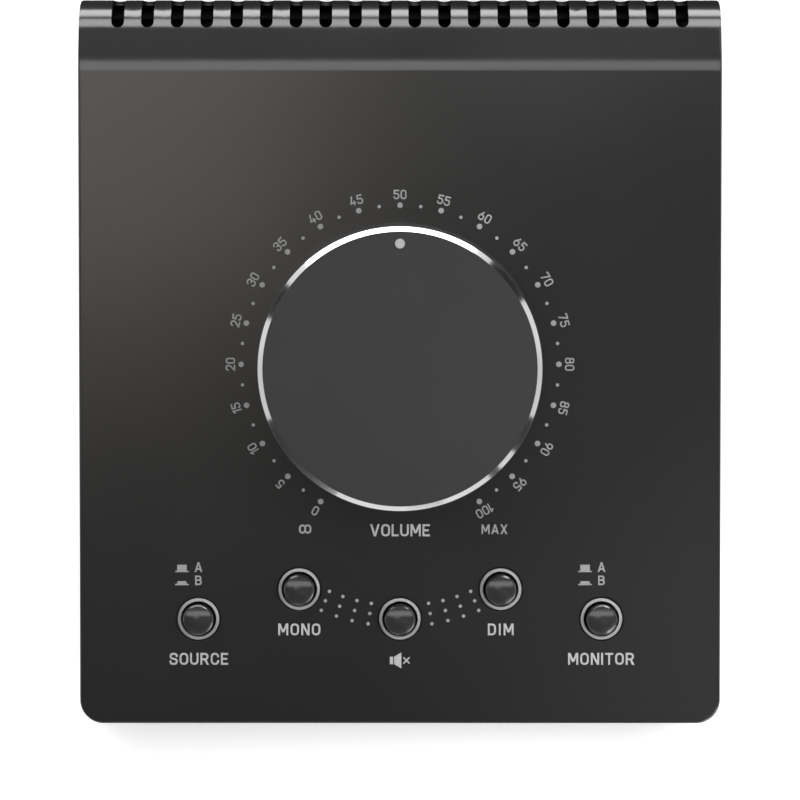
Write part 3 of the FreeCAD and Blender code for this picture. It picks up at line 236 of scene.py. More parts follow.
    def finish_bend(self):
        """Exact normals on the rear bend, where long thin triangles between the slots would shade unevenly.
        Below its outer face, so on the walls of the slots, the steel is painted black and matt: painted shade
        that keeps the slots dark."""
        spoke = self.vector("SUBTRACT", self.node("TexCoord").outputs["Object"], BEND_CENTRE)
        exact = self.vector("NORMALIZE", self.vector("MULTIPLY", spoke, (0, 1, 1)))
        along, back, above = self.split(spoke)
        rise = self.math("MAXIMUM", above)
        squares = [self.math("MULTIPLY", part, part) for part in (back, rise)]
        reach = self.math("SQRT", self.math("ADD", *squares))
        outer = self.ramp(reach, BEND_RADIUS - BEND_FACE - BEND_FADE, BEND_RADIUS - BEND_FACE)
        on_bend = self.math("GREATER_THAN", self.math("MINIMUM", back, above))
        rounded = self.math("MULTIPLY", on_bend, outer)
        self.drive("Normal", self.mix("VECTOR", rounded, self.source("Normal"), exact))
        beside = self.math("GREATER_THAN", self.math("ABSOLUTE", along), SLOTTED_HALF)
        before = self.math("LESS_THAN", back)
        painted = self.math("MAXIMUM", outer, self.math("MAXIMUM", beside, before))
        # The slot walls are painted black, matt and metallic: painted shade.
        bare_and_slot_shade = self.math("SUBTRACT", 1.0, painted)
        self.roughen(bare_and_slot_shade)
        self.cover(bare_and_slot_shade, grey(0.0005))
        self.drive("Metallic", bare_and_slot_shade)


def powder_coat(slot, colour, roughness, specular, worn):
    """Fine satin powder coat: cloudy gloss and edges rubbed a little lighter."""
    coat_and_rim_shade = Finish(slot, colour, roughness, specular=specular)
    coat_and_rim_shade.mottle(coat_and_rim_shade.noise(60, 3), 0.05)
    coat_and_rim_shade.polish(coat_and_rim_shade.noise(25, 4), 0.015)
    coat_and_rim_shade.soften_edges(0.25 * MM)
    coat_and_rim_shade.wear_edges(0.3 * MM, worn)
    return coat_and_rim_shade


def orange_peel(coat_and_rim_shade):
    """The slight waves of a sprayed coat."""
    coat_and_rim_shade.relief(coat_and_rim_shade.noise(1500, 2), 4 * MICRON)
    coat_and_rim_shade.relief(coat_and_rim_shade.noise(6000, 1), 1.2 * MICRON)
    return coat_and_rim_shade.material


def casing():
    coat_and_rim_shade = powder_coat("casing", (0.0094, 0.0091, 0.0089), 0.18, specular=1.0, worn=grey(0.02))
    coat_and_rim_shade.finish_bend()
    return orange_peel(coat_and_rim_shade)


def rear_panel():
    return orange_peel(powder_coat("rear_panel", grey(0.005), 0.6, specular=0.1, worn=grey(0.03)))


def moulded(slot, colour, roughness, grain=2500, depth=4 * MICRON):
    """Moulded plastic with a fine spark-eroded grain and a slightly uneven gloss."""
    plastic = Finish(slot, colour, roughness)
    plastic.mottle(plastic.noise(300, 3), 0.06)
    plastic.polish(plastic.noise(150, 3), 0.05)
    plastic.soften_edges(0.15 * MM)
    plastic.relief(plastic.noise(grain, 2), depth)
    return plastic.material


def metal(slot, colour, roughness, stretch=(1, 1, 1), worn=None):
    """Bare or plated metal. Stretch draws the fine marks out along the axis where it is smallest."""
    bare_and_slot_shade = Finish(slot, colour, roughness, metallic=1.0)
    bare_and_slot_shade.mottle(bare_and_slot_shade.noise(250, 3), 0.08)
    marks = bare_and_slot_shade.noise(2500, 3, bare_and_slot_shade.place(stretch))
    bare_and_slot_shade.polish(marks, roughness * 0.25)
    bare_and_slot_shade.soften_edges(0.1 * MM)
    bare_and_slot_shade.relief(marks, 3 * MICRON)
    if worn:
        bare_and_slot_shade.wear_edges(0.12 * MM, worn)
    return bare_and_slot_shade.material


def knob_ring():
    """Diamond-turned chamfer: bright metal with fine lathe marks round the knob's axis. A painted dark rim
    comes
    just over its outer edge: painted shade there, black, matt and not metallic."""
    chamfer = Finish("knob_ring", grey(0.66), 0.11, metallic=1.0)
    where = chamfer.panel_place()
    marks = chamfer.rings(16000, where)
    chamfer.polish(marks, 0.025)
    chamfer.relief(marks, 1.2 * MICRON)
    chamfer.mottle(chamfer.noise(90, 3), 0.015)
    # A painted dark rim along the ring's outer edge: painted shade, black, matt and not metallic.
    rim_shade_edge = KNOB_TOP_RADIUS - RING_SHADE_WIDTH
    coat_and_rim_shade = chamfer.ramp(chamfer.radius(where), rim_shade_edge, rim_shade_edge + RING_SHADE_FADE)
    chamfer.cover(coat_and_rim_shade, grey(0.003))
    chamfer.roughen(chamfer.math("MULTIPLY", coat_and_rim_shade, 0.4))
    chamfer.drive("Metallic", chamfer.math("SUBTRACT", 1.0, coat_and_rim_shade))
    return chamfer.material


def knob_face():
    """Matt soft-touch film, with a very fine grain and a few slightly rubbed places."""
    face = Finish("knob_face", grey(0.027), 0.78, specular=0.2)
    face.mottle(face.noise(90, 4), 0.03)
    face.polish(face.noise(40, 4), 0.03)
    face.relief(face.noise(5000, 2), 3 * MICRON)
    return face.material


def knob_skirt():
    """Satin black plastic, turned: faint rings run round the skirt."""
    skirt = Finish("knob_skirt", grey(0.010), 0.36)
    skirt.relief(skirt.rings(9000, skirt.panel_place(), along_axis=True), 2 * MICRON)
    skirt.polish(skirt.noise(200, 3), 0.04)
    skirt.mottle(skirt.noise(300, 3), 0.1)
    return skirt.material


def button_cap():
    """Glossy black plastic: nearly flawless, with faint swirls from handling."""
    cap = Finish("button_cap", (0.021, 0.021, 0.0215), 0.18, specular=1.0)
    cap.polish(cap.noise(900, 4), 0.02)
    cap.mottle(cap.noise(400, 2), 0.08)
    cap.relief(cap.noise(1200, 1), 1.5 * MICRON)
    return cap.material


def bezel():
    """Plastic ring with a satin light grey face, turned. The grey ends just below the panel's face, and below
    it
    the ring is painted black: painted shade in the gap round it.
    """
    plastic = Finish("bezel", grey(0.38), 0.5)
    height = plastic.split(plastic.panel_place())[2]
    # Black below the panel's face: painted shade in the gap round the bezel.
    face = plastic.ramp(height, -BEZEL_SHADE_DEPTH, BEZEL_SHADE_FADE - BEZEL_SHADE_DEPTH)
    worn = plastic.spread(plastic.noise(1500, 3), 0.94, 1.0)
    plastic.shade(plastic.math("MULTIPLY", face, worn), grey(0.008), plastic.colour)
    plastic.polish(plastic.noise(800, 2), 0.06)
    plastic.relief(plastic.noise(4000, 2), 2 * MICRON)
    return plastic.material


def ink(slot, level):
    """Screen-printed ink: dense, slightly uneven and matt."""
    print_ink = Finish(slot, (level, level * 1.005, level * 0.995), 0.55)
    print_ink.mottle(print_ink.noise(3500, 3), 0.05)
    print_ink.relief(print_ink.noise(9000, 2), 2 * MICRON)
    return print_ink.material


def rubber():
    """Dull black rubber with a coarse skin."""
    feet = Finish("rubber", grey(0.016), 0.85)
    feet.mottle(feet.noise(400, 4), 0.25)
    feet.relief(feet.noise(3000, 4), 20 * MICRON)
    return feet.material


def turned_metal(slot, colour, roughness):
    """Turned metal on the knob's axis, with marks that run round it."""
    bar = Finish(slot, colour, roughness, metallic=1.0)
    marks = bar.rings(9000, bar.panel_place(), along_axis=True)
    bar.relief(marks, 3 * MICRON)
    bar.polish(marks, 0.05)
    bar.mottle(bar.noise(300, 3), 0.06)
    return bar.material


def circuit_board():
    """Green solder mask over traces that stand up a little and show lighter."""
    board = Finish("board", (0.012, 0.085, 0.035), 0.32)
    traces = board.node("TexBrick", Vector=board.panel_place(), Scale=260.0)
    traces.inputs["Mortar Size"].default_value = 0.12
    traces.inputs["Mortar Smooth"].default_value = 0.3
    lines = traces.outputs["Fac"]
    board.shade(board.spread(lines, 0, 1), board.colour, (0.02, 0.13, 0.05))
    board.relief(lines, 30 * MICRON)
    board.polish(board.noise(300, 3), 0.05)
    return board.material


def ribbon():
    """Grey flat cable: a rib for each conductor, across the cable's width."""
    cable = Finish("ribbon", grey(0.33), 0.45)
    waves = cable.node("TexWave", Vector=cable.place(), Scale=math.tau / WAVE_TURN / RIBBON_PITCH)
    waves.wave_profile = "SIN"
    waves.bands_direction = "X"
    ribs = waves.outputs["Fac"]
    cable.relief(ribs, 0.2 * MM)
    # The grooves between the ribs are painted darker and the crests lighter: painted shade.
    cable.shade(cable.spread(ribs, 0, 1), grey(0.26), grey(0.36))
    cable.polish(cable.noise(300, 3), 0.05)
    return cable.material


def make_finishes():
    """A material for each slot of the record."""
    return {
        "casing": casing(),
        "tray": moulded("tray", grey(0.016), 0.5, grain=1800, depth=6 * MICRON),
        "rear_panel": rear_panel(),
        "black_screw": metal("black_screw", grey(0.045), 0.36, worn=grey(0.25)),
        "rubber": rubber(),
        "knob_skirt": knob_skirt(),
        "knob_ring": knob_ring(),
        "knob_face": knob_face(),
        "pointer": ink("pointer", 0.34),
        "brass": metal("brass", (0.72, 0.52, 0.24), 0.3),
        "nickel": metal("nickel", (0.58, 0.57, 0.55), 0.28, worn=grey(0.75)),
        "shaft": turned_metal("shaft", (0.68, 0.68, 0.69), 0.3),
        "component": moulded("component", (0.028, 0.028, 0.032), 0.45),
        "wafer": moulded("wafer", (0.22, 0.12, 0.05), 0.55, grain=700, depth=10 * MICRON),
        "button_cap": button_cap(),
        "stem": moulded("stem", (0.68, 0.68, 0.65), 0.5),
        "spring_steel": metal("spring_steel", grey(0.5), 0.25, stretch=(1, 1, 0.1)),
        "bezel": bezel(),
        "board": circuit_board(),
        "resistor": moulded("resistor", (0.55, 0.43, 0.27), 0.35, grain=900, depth=10 * MICRON),
        "ribbon": ribbon(),
        "socket": moulded("socket", grey(0.014), 0.42),
        "contact": metal("contact", (0.82, 0.62, 0.3), 0.22, worn=(0.9, 0.75, 0.45)),
    }


def dress_nodes(finishes):
    """Gives every CAD node the finish of its slot."""
    for part in frame["record"]["subparts"]:
        node = frame["nodes"][part["node"]]
        for place in node.material_slots:
            place.material = finishes[part["material_slot"]]


# ---------------------------------------------------------------- panel print

PANEL = placed_at(DIAL, RIGHT, UP, OUT)  # from the panel's own frame to the world
INK_DEPTH = 0.02 * MM  # how far the ink stands out of the panel
INK_SINK = 0.01 * MM  # how far it reaches into the paint
ARC_STEPS = 6
DOT_SIDES = 28

# These are shares of the letters' height.
STROKE = 0.16  # stroke width
LETTER_GAP = 0.12
SHORTEST_STEP = 0.004  # points of a stroke that lie closer than this are one
MERGE_DISTANCE = 0.00001

# How far a rounded corner may reach towards the next corner, as a share of the way.
NEARLY_HALF = 0.499  # if that one is rounded too
NEARLY_ALL = 0.999  # if it is sharp

CONVEX_HULL = 0  # the triangulation's output type


def path(*points):
    """An open stroke through (x, y) or (x, y, corner radius) points."""
    return "path", points


def loop(*points):
    """A closed stroke."""
    return "loop", points


def slant(start, end):
    """A straight stroke whose two ends are cut level."""
    return "slant", (start, end)


def oval(radius, x0=0, y0=0, x1=1, y1=1):
    """A closed stroke round a box, with its four corners rounded."""
    return loop((x0, y0, radius), (x1, y0, radius), (x1, y1, radius), (x0, y1, radius))


# Each letter's width, as a share of its height, and its strokes. A stroke's points lie on a box from 0 to 1
# both ways: the letter's outline less half a stroke all round. Corner radii are shares of the height.
LETTERS = {
    "0": (0.63, [oval(0.21)]),
    "1": (0.38, [path((1, 0), (1, 1)), path((0.1, 0.78), (0.7, 0.93))]),
    "2": (0.62, [path((0, 0.78), (0, 1, 0.2), (1, 1, 0.2), (1, 0.57, 0.2), (0.2, 0.14)),
                 path((0, 0), (1, 0))]),
    "3": (0.62, [path((0, 0.8), (0, 1, 0.18), (1, 1, 0.2), (1, 0.54, 0.17), (0.5, 0.54)),
                 path((0.5, 0.54), (1, 0.54, 0.2), (1, 0, 0.2), (0, 0, 0.18), (0, 0.2))]),
    "4": (0.68, [slant((0.06, 0.24), (0.5, 1)), path((0.06, 0.24), (1, 0.24)),
                 path((0.74, 0), (0.74, 0.44))]),
    "5": (0.62, [path((0.94, 1), (0.06, 1), (0.02, 0.6), (1, 0.62, 0.22), (1, 0, 0.22),
                      (0, 0, 0.18), (0, 0.18))]),
    "6": (0.63, [oval(0.2, 0, 0, 1, 0.6), path((0.6, 0.95), (0, 0.36, 0.3), (0, 0.24))]),
    "7": (0.62, [path((0, 0.92), (0, 1), (1, 1), (0.36, 0))]),
    "8": (0.63, [oval(0.19, 0, 0, 1, 0.54), oval(0.17, 0.06, 0.54, 0.94, 1)]),
    "9": (0.63, [oval(0.2, 0, 0.4, 1, 1), path((0.4, 0.05), (1, 0.64, 0.3), (1, 0.76))]),
    "A": (0.78, [slant((0, 0), (0.5, 1)), slant((1, 0), (0.5, 1)), path((0.2, 0.25), (0.8, 0.25))]),
    "B": (0.72, [loop((0, 0), (0.96, 0, 0.2), (0.96, 0.52, 0.2), (0, 0.52)),
                 loop((0, 0.52), (0.88, 0.52, 0.18), (0.88, 1, 0.18), (0, 1))]),
    "C": (0.70, [path((1, 0.74), (1, 1, 0.22), (0, 1, 0.25), (0, 0, 0.25), (1, 0, 0.22), (1, 0.26))]),
    "D": (0.69, [loop((0, 0), (1, 0, 0.25), (1, 1, 0.25), (0, 1))]),
    "E": (0.61, [path((1, 1), (0, 1), (0, 0), (1, 0)), path((0, 0.5), (0.8, 0.5))]),
    "I": (0.17, [path((0, 0), (0, 1))]),
    "L": (0.57, [path((0, 1), (0, 0), (1, 0))]),
    "M": (0.85, [path((0, 0), (0, 1)), path((1, 0), (1, 1)), slant((0.03, 1), (0.5, 0.3)),
                 slant((0.97, 1), (0.5, 0.3))]),
    "N": (0.70, [path((0, 0), (0, 1)), path((1, 0), (1, 1)), slant((0.03, 1), (0.97, 0))]),
    "O": (0.72, [oval(0.25)]),
    "R": (0.71, [path((0, 0), (0, 1), (0.95, 1, 0.22), (0.95, 0.46, 0.22), (0, 0.46)),
                 slant((0.5, 0.46), (1, 0))]),
    "S": (0.69, [path((0.98, 0.78), (0.98, 1, 0.18), (0.02, 1, 0.22), (0.02, 0.56, 0.2), (1, 0.44, 0.2),
                      (1, 0, 0.22), (0, 0, 0.18), (0, 0.22))]),
    "T": (0.67, [path((0, 1), (1, 1)), path((0.5, 0), (0.5, 1))]),
    "U": (0.71, [path((0, 1), (0, 0, 0.25), (1, 0, 0.25), (1, 1))]),
    "V": (0.78, [slant((0, 1), (0.5, 0)), slant((1, 1), (0.5, 0))]),
    "X": (0.72, [slant((0, 0), (1, 1)), slant((0, 1), (1, 0))]),
    "cross": (1.0, [path((0.05, 0.05), (0.95, 0.95)), path((0.05, 0.95), (0.95, 0.05))]),
    "infinity": (1.37, [oval(0.3, 0, 0, 0.5, 1), oval(0.3, 0.5, 0, 1, 1)]),
}


def round_corner(before, corner, after, radius):
    """Points along the arc that replaces a corner. It reaches no further than the points before and after."""
    a, b = before - corner, after - corner
    half = a.angle(b) / 2
    reach = min(radius / math.tan(half), a.length, b.length)
    start, end = corner + a.normalized() * reach, corner + b.normalized() * reach
    centre = corner + (a.normalized() + b.normalized()).normalized() * reach / math.cos(half)
    first, sweep = start - centre, math.pi - 2 * half
    if first.cross(corner - centre) < 0:
        sweep = -sweep
    turns = (Matrix.Rotation(sweep * step / ARC_STEPS, 2) for step in range(ARC_STEPS))
    return [centre + turn @ first for turn in turns] + [end]


def centre_line(points, closed, width):
    """A stroke's centre line, its corners rounded. Two round corners in a row share the straight between."""
    corners = [Vector(point[:2]) for point in points]
    radii = [point[2] if len(point) > 2 else 0 for point in points]
    line, count = [], len(points)
    for i, (corner, radius) in enumerate(zip(corners, radii)):
        if not radius:
            line.append(corner)
            continue
        limits = [corner.lerp(corners[j], NEARLY_HALF if radii[j] else NEARLY_ALL)
                  for j in (i - 1, (i + 1) % count)]
        line += round_corner(limits[0], corner, limits[1], radius)
    pairs = zip(line, [None, *line])
    line = [point for point, last in pairs if last is None or (point - last).length > SHORTEST_STEP]
    return line + line[:1] if closed else square_ends(line, width / 2)


def square_ends(line, reach):
    """Runs an open stroke that much past its two ends."""
    first, last = line[0] - line[1], line[-1] - line[-2]
    return [line[0] + first.normalized() * reach, *line[1:-1], line[-1] + last.normalized() * reach]


def ribbon_faces(line, closed, width):
    """Four-sided faces that cover a stroke of that width along its centre line."""
    sides = []
    for i, point in enumerate(line):
        before = line[i - 1] if i else (line[-2] if closed else None)
        after = line[i + 1] if i < len(line) - 1 else (line[1] if closed else None)
        pairs = ((before, point), (point, after))
        steps = [(b - a).normalized() for a, b in pairs if a is not None and b is not None]
        normals = [Vector((-step.y, step.x)) for step in steps]
        middle = sum(normals, Vector((0, 0))).normalized()
        offset = middle * (width / 2 / middle.dot(normals[0]))
        sides.append((point + offset, point - offset))
    return [(a, b, d, c) for (a, b), (c, d) in zip(sides, sides[1:])]


def slant_face(start, end, width):
    """One four-sided face for a straight stroke. Its ends are level, half a stroke past its points."""
    lean = (end.x - start.x) / (end.y - start.y)
    across = Vector((width / 2 * math.hypot(1, lean), 0))
    grow = Vector((0, math.copysign(width / 2, end.y - start.y)))
    start, end = start - grow, end + grow
    return [(start - across, start + across, end + across, end - across)]


def letter_faces(name, weight):
    """The faces of one letter in units of its height, from its lower left corner, and its width."""
    width, strokes = LETTERS[name]
    spans = (width - weight, 1 - weight)
    faces = []
    for kind, points in strokes:
        placed = [(*(weight / 2 + at * span for at, span in zip(point, spans)), *point[2:])
                  for point in points]
        if kind == "slant":
            faces += slant_face(Vector(placed[0]), Vector(placed[1]), weight)
            continue
        closed = kind == "loop"
        faces += ribbon_faces(centre_line(placed, closed, weight), closed, weight)
    return faces, width


def signed_area(face):
    """Positive where the corners run anticlockwise."""
    return sum(a.cross(b) for a, b in zip(face, face[1:] + face[:1])) / 2


def merged(faces):
    """Overlapping faces made into one flat sheet of triangles: (points, triangles)."""
    faces = [face if signed_area(face) > 0 else face[::-1] for face in faces]
    points = [point for face in faces for point in face]
    corners, start = [], 0
    for face in faces:
        corners.append(list(range(start, start + len(face))))
        start += len(face)
    made, _, triangles, _, _, sources = delaunay_2d_cdt(
        points, [], corners, CONVEX_HULL, MERGE_DISTANCE, True)
    return made, [triangle for triangle, source in zip(triangles, sources) if source]


def slab(points, faces):
    """A closed thin plate over flat faces, from panel mm to (vertices, faces) in metres."""
    count = len(points)
    flat = [point * MM for point in points]
    vertices = [PANEL @ Vector((p.x, p.y, height)) for height in (INK_DEPTH, -INK_SINK) for p in flat]
    edges = {(a, b) for face in faces for a, b in zip(face, face[1:] + face[:1])}
    walls = [(a, a + count, b + count, b) for a, b in edges if (b, a) not in edges]
    under = [tuple(corner + count for corner in reversed(face)) for face in faces]
    return vertices, [tuple(face) for face in faces] + under + sorted(walls)


def around(radius, degrees, centre=(0, 0)):
    """A point at that radius, so many degrees clockwise from the top."""
    turn = math.radians(degrees)
    return Vector(centre) + radius * Vector((math.sin(turn), math.cos(turn)))


class Print:
    """Collects printed shapes on the panel and makes them one piece. All places are in panel mm."""

    def __init__(self):
        self.vertices = []
        self.faces = []

    def add(self, points, faces):
        """Adds flat faces as a thin plate."""
        vertices, shapes = slab(points, faces)
        start = len(self.vertices)
        self.vertices += vertices
        self.faces += [tuple(corner + start for corner in shape) for shape in shapes]

    def polygon(self, *corners):
        """One flat shape, with its corners anticlockwise."""
        self.add([Vector(corner) for corner in corners], [list(range(len(corners)))])

    def dot(self, centre, diameter):
        turns = [90 - 360 * side / DOT_SIDES for side in range(DOT_SIDES)]
        self.polygon(*(around(diameter / 2, turn, centre) for turn in turns))

    def word(self, letters, centre, height, width=None, turn=0.0, weight=STROKE):
        """A word centred on a point. A width spaces its letters out evenly to fill it."""
        shapes = [letter_faces(letter, weight) for letter in letters]
        gap, gaps = LETTER_GAP, len(shapes) - 1
        if width is not None:
            gap = (width / height - sum(wide for _, wide in shapes)) / gaps
        left = -(sum(wide for _, wide in shapes) + gap * gaps) / 2
        rotation = Matrix.Rotation(turn, 2)
        for faces, wide in shapes:
            points, triangles = merged(faces)
            corner = Vector((left, -0.5))
            placed = [Vector(centre) + rotation @ ((point + corner) * height) for point in points]
            self.add(placed, triangles)
            left += wide + gap

    def piece(self, name, finish):
        """Makes what was collected a piece of the housing."""
        mesh = bpy.data.meshes.new(name)
        mesh.from_pydata(self.vertices, [], self.faces)
        mesh.validate()
        mesh.materials.append(finish)
        made = bpy.data.objects.new(name, mesh)
        bpy.context.scene.collection.objects.link(made)
        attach(made, "housing")


DIAL_TURN = 150  # the scale's two ends, in degrees either side of the top
DIAL_STEPS = 40
DIAL_DOTS_RADIUS = 29.23
DIAL_DOT = 1.03  # diameter beside a number
DIAL_SMALL_DOT = 0.63  # diameter between two numbers
NUMERAL_RADIUS = 31.2
NUMERAL_HEIGHT = 1.74
NUMERAL_WEIGHT = 0.146


def print_dial(finish):
    """A dot at every step of the scale, and a number at every second one."""
    dots, numerals = Print(), Print()
    for step in range(DIAL_STEPS + 1):
        degrees = DIAL_TURN * (2 * step / DIAL_STEPS - 1)
        numbered = step % 2 == 0
        dots.dot(around(DIAL_DOTS_RADIUS, degrees), DIAL_DOT if numbered else DIAL_SMALL_DOT)
        if numbered:
            numerals.word(str(100 * step // DIAL_STEPS), around(NUMERAL_RADIUS, degrees), NUMERAL_HEIGHT,
                          turn=-math.radians(degrees), weight=NUMERAL_WEIGHT)
    dots.piece("dial_dots", finish)
    numerals.piece("dial_numerals", finish)


def print_scale_ends(finish):
    """The signs beside the scale's quiet and loud ends."""
    ends = Print()
    ends.word(["infinity"], centre=(-17.48, -30.39), height=1.68, weight=0.19)
    ends.word("MAX", centre=(17.41, -30.44), height=1.77, width=4.77)
    ends.piece("scale_ends", finish)


CONTROL_NAMES = (
    # word, centre, letter height, width
    ("VOLUME", (0, -30.62), 2.24, 11.0),
    ("SOURCE", (-37.12, -54.41), 2.2, 10.82),
    ("MONO", (-18.58, -48.96), 2.17, 7.77),
    ("DIM", (18.58, -48.96), 2.17, 4.76),
    ("MONITOR", (37.12, -54.41), 2.2, 12.2),
)


def print_names(finish):
    """The names of the knob and of four of the buttons."""
    names = Print()
    for word in CONTROL_NAMES:
        names.word(*word)
    names.piece("control_names", finish)


LATCH_ICON_PLACES = (-40.2, 34.12)  # middles across the panel, above SOURCE and MONITOR
LATCH_LINE_HALF = 1.26  # half the width of the line that stands for the panel
LATCH_LINE_HEIGHT = 0.24
LATCH_CAP_HALF = 0.88  # half the width of a button's foot
LATCH_STATES = (
    # y of the line's foot, rise of the button, half its top, letter, its x from the icon's, its y and height
    (-38.36, 1.12, 0.88, "A", 3.04, -37.43, 1.8),
    (-40.77, 0.5, 0.8, "B", 3.05, -39.88, 1.76),
)


def print_latch_icons(finish):
    """A button standing out beside A and pressed in beside B, above each latching button."""
    icons = Print()
    for x in LATCH_ICON_PLACES:
        for foot, rise, top_half, letter, letter_x, letter_y, letter_height in LATCH_STATES:
            add_trapezium(icons, x, foot, LATCH_LINE_HEIGHT, LATCH_LINE_HALF, LATCH_LINE_HALF)
            add_trapezium(icons, x, foot + LATCH_LINE_HEIGHT, rise, LATCH_CAP_HALF, top_half)
            icons.word(letter, (x + letter_x, letter_y), letter_height)
    icons.piece("latch_icons", finish)


def add_trapezium(icons, x, foot, height, foot_half, top_half):
    """A shape with level edges, centred on x: y of its foot, its height, half its width at foot and top."""
    icons.polygon((x - foot_half, foot), (x + foot_half, foot), (x + top_half, foot + height),
                  (x - top_half, foot + height))


MUTE_Y = -54.71  # middle of the mute icon
MUTE_MAGNET = (-1.87, -1.27)  # left and right side of the loudspeaker's magnet
MUTE_HORN = (-1.09, 0.25)  # and of its horn
MUTE_THROAT_HALF = 0.69
MUTE_MOUTH_HALF = 1.48


def print_mute_icon(finish):
    """A loudspeaker with a small cross."""
    icon = Print()
    for (left, right), right_half in ((MUTE_MAGNET, MUTE_THROAT_HALF), (MUTE_HORN, MUTE_MOUTH_HALF)):
        icon.polygon((left, MUTE_Y - MUTE_THROAT_HALF), (right, MUTE_Y - right_half),
                     (right, MUTE_Y + right_half), (left, MUTE_Y + MUTE_THROAT_HALF))
    icon.word(["cross"], centre=(1.2, MUTE_Y), height=1.32, weight=0.2)
    icon.piece("mute_icon", finish)


DOT_ROW_CENTRE = (0, -11.23)  # the rows are arcs round this point
DOT_ROW_RADII = (33.34, 35.24, 37.16)
DOT_ROW_TURNS = (9.1, 13.75, 18.4, 23.0)  # degrees either side of straight down
ROW_DOT = 0.63


def print_dot_rows(finish):
    """Three short arcs of dots on each side of the mute button."""
    dots = Print()
    for radius in DOT_ROW_RADII:
        for degrees in DOT_ROW_TURNS:
            for side in (-1, 1):
                dots.dot(around(radius, 180 + side * degrees, DOT_ROW_CENTRE), ROW_DOT)
    dots.piece("dot_rows", finish)


def print_panel():
    grey_ink = ink("grey_ink", 0.3)
    pale_ink = ink("pale_ink", 0.43)
    print_dial(grey_ink)
    print_scale_ends(grey_ink)
    print_names(pale_ink)
    print_latch_icons(grey_ink)
    print_mute_icon(pale_ink)
    print_dot_rows(grey_ink)


# ---------------------------------------------------------------- studio

CAMERA_TILT = math.radians(12.593)  # from straight above, towards the front
CAMERA_REACH = 0.71631  # from the dial's centre, in metres
CAMERA_RAISE = 0.5 * MM  # up the picture from the dial's centre
FOCAL = 4.8675  # focal length as a share of the picture's width
SHIFT_UP = -0.0481  # likewise
SENSOR = 36.0


def make_camera():
    """Nearly straight above the dial, a little to the front, with a long lens."""
    back = Vector((0, -math.sin(CAMERA_TILT), math.cos(CAMERA_TILT)))
    up = Vector((0, math.cos(CAMERA_TILT), math.sin(CAMERA_TILT)))
    data = bpy.data.cameras.new("camera")
    data.lens = FOCAL * SENSOR
    data.sensor_width = SENSOR
    data.shift_y = SHIFT_UP
    camera = bpy.data.objects.new("camera", data)
    camera.matrix_world = placed_at(DIAL + CAMERA_REACH * back + CAMERA_RAISE * up, RIGHT, up, back)
    bpy.context.scene.collection.objects.link(camera)
    bpy.context.scene.camera = camera


def heading(azimuth, elevation=0.0):
    """A unit vector. Azimuth 0 is straight behind the object and 90 to its right."""
    a, e = math.radians(azimuth), math.radians(elevation)
    return Vector((math.sin(a) * math.cos(e), math.cos(a) * math.cos(e), math.sin(e)))


def softbox(name, azimuth, elevation, reach, along, width, height, radiance, seen=True, matt=True,
            colour=(1, 1, 1)):
    """A rectangular lamp that faces the dial, its width along the azimuth called along. The camera never sees
    it. It shows in reflections if seen, and it lights matt surfaces if matt."""
    out = heading(azimuth, elevation)
    side = heading(along)
    side = (side - side.dot(out) * out).normalized()
    data = bpy.data.lights.new(name, "AREA")
    data.shape = "RECTANGLE"
    data.size = width
    data.size_y = height
    data.energy = radiance * math.pi * width * height
    data.color = colour
    lamp = bpy.data.objects.new(name, data)
    lamp.matrix_world = placed_at(DIAL + reach * out, side, out.cross(side), out)
    lamp.visible_camera = False
    lamp.visible_glossy = seen
    lamp.visible_diffuse = matt
    bpy.context.scene.collection.objects.link(lamp)


WARM = (1.0, 0.93, 0.84)
SOFTBOXES = (
    # name, azimuth, elevation, reach, azimuth of its width, width, height, radiance, seen, matt, colour
    ("lamp_back_low", -5, 19.25, 1.6, 85, 2.5, 0.695, 5.1, True, False),
    ("lamp_back_high", 0, 51.8, 1.6, 90, 2.0, 0.645, 4.15, True, False),
    ("lamp_overhead", 0, 89.75, 1.6, 90, 2.7, 0.436, 1.66),
    ("lamp_overhead_right", 155, 62, 1.6, 90, 0.4, 0.3, 0.28),
    ("lamp_overhead_left", -143, 75.5, 1.6, 90, 0.38, 0.26, 1.05, True, True, WARM),
    ("lamp_crescent", 36, 46, 0.8, 126, 0.27, 0.24, 11.0, True, False),
    ("lamp_front", 150, 45, 0.8, 60, 0.7, 0.5, 0.5, False, True),
    ("lamp_low_right", 140, 18, 0.5, 50, 0.3, 0.14, 7.5, True, False),
    ("lamp_fill_left", -75, 50, 0.16, 15, 0.1, 0.1, 4.6, False, True),
    ("lamp_fill_right", 119, 49, 0.16, 29, 0.1, 0.1, 6.6, False, True),
)


def plain_material(name, level):
    """A material with a Principled shader of one grey, and that shader."""
    material = bpy.data.materials.new(name)
    material.use_nodes = True
    shader = material.node_tree.nodes["Principled BSDF"]
    shader.inputs["Base Color"].default_value = (*grey(level), 1)
    return material, shader


def white_backdrop(name, level, glow):
    """A matt material that glows only for camera, glossy and transmission rays."""
    material, shader = plain_material(name, level)
    nodes, links = material.node_tree.nodes, material.node_tree.links
    shader.inputs["Roughness"].default_value = 1.0
    shader.inputs["Specular IOR Level"].default_value = 0.0
    shader.inputs["Emission Color"].default_value = (1, 1, 1, 1)
    rays = nodes.new("ShaderNodeLightPath")
    total = rays.outputs["Is Camera Ray"]
    for kind in ("Is Glossy Ray", "Is Transmission Ray"):
        either = nodes.new("ShaderNodeMath")
        either.operation = "MAXIMUM"
        links.new(total, either.inputs[0])
        links.new(rays.outputs[kind], either.inputs[1])
        total = either.outputs[0]
    strength = nodes.new("ShaderNodeMath")
    strength.operation = "MULTIPLY"
    links.new(total, strength.inputs[0])
    strength.inputs[1].default_value = glow
    links.new(strength.outputs[0], shader.inputs["Emission Strength"])
    return material


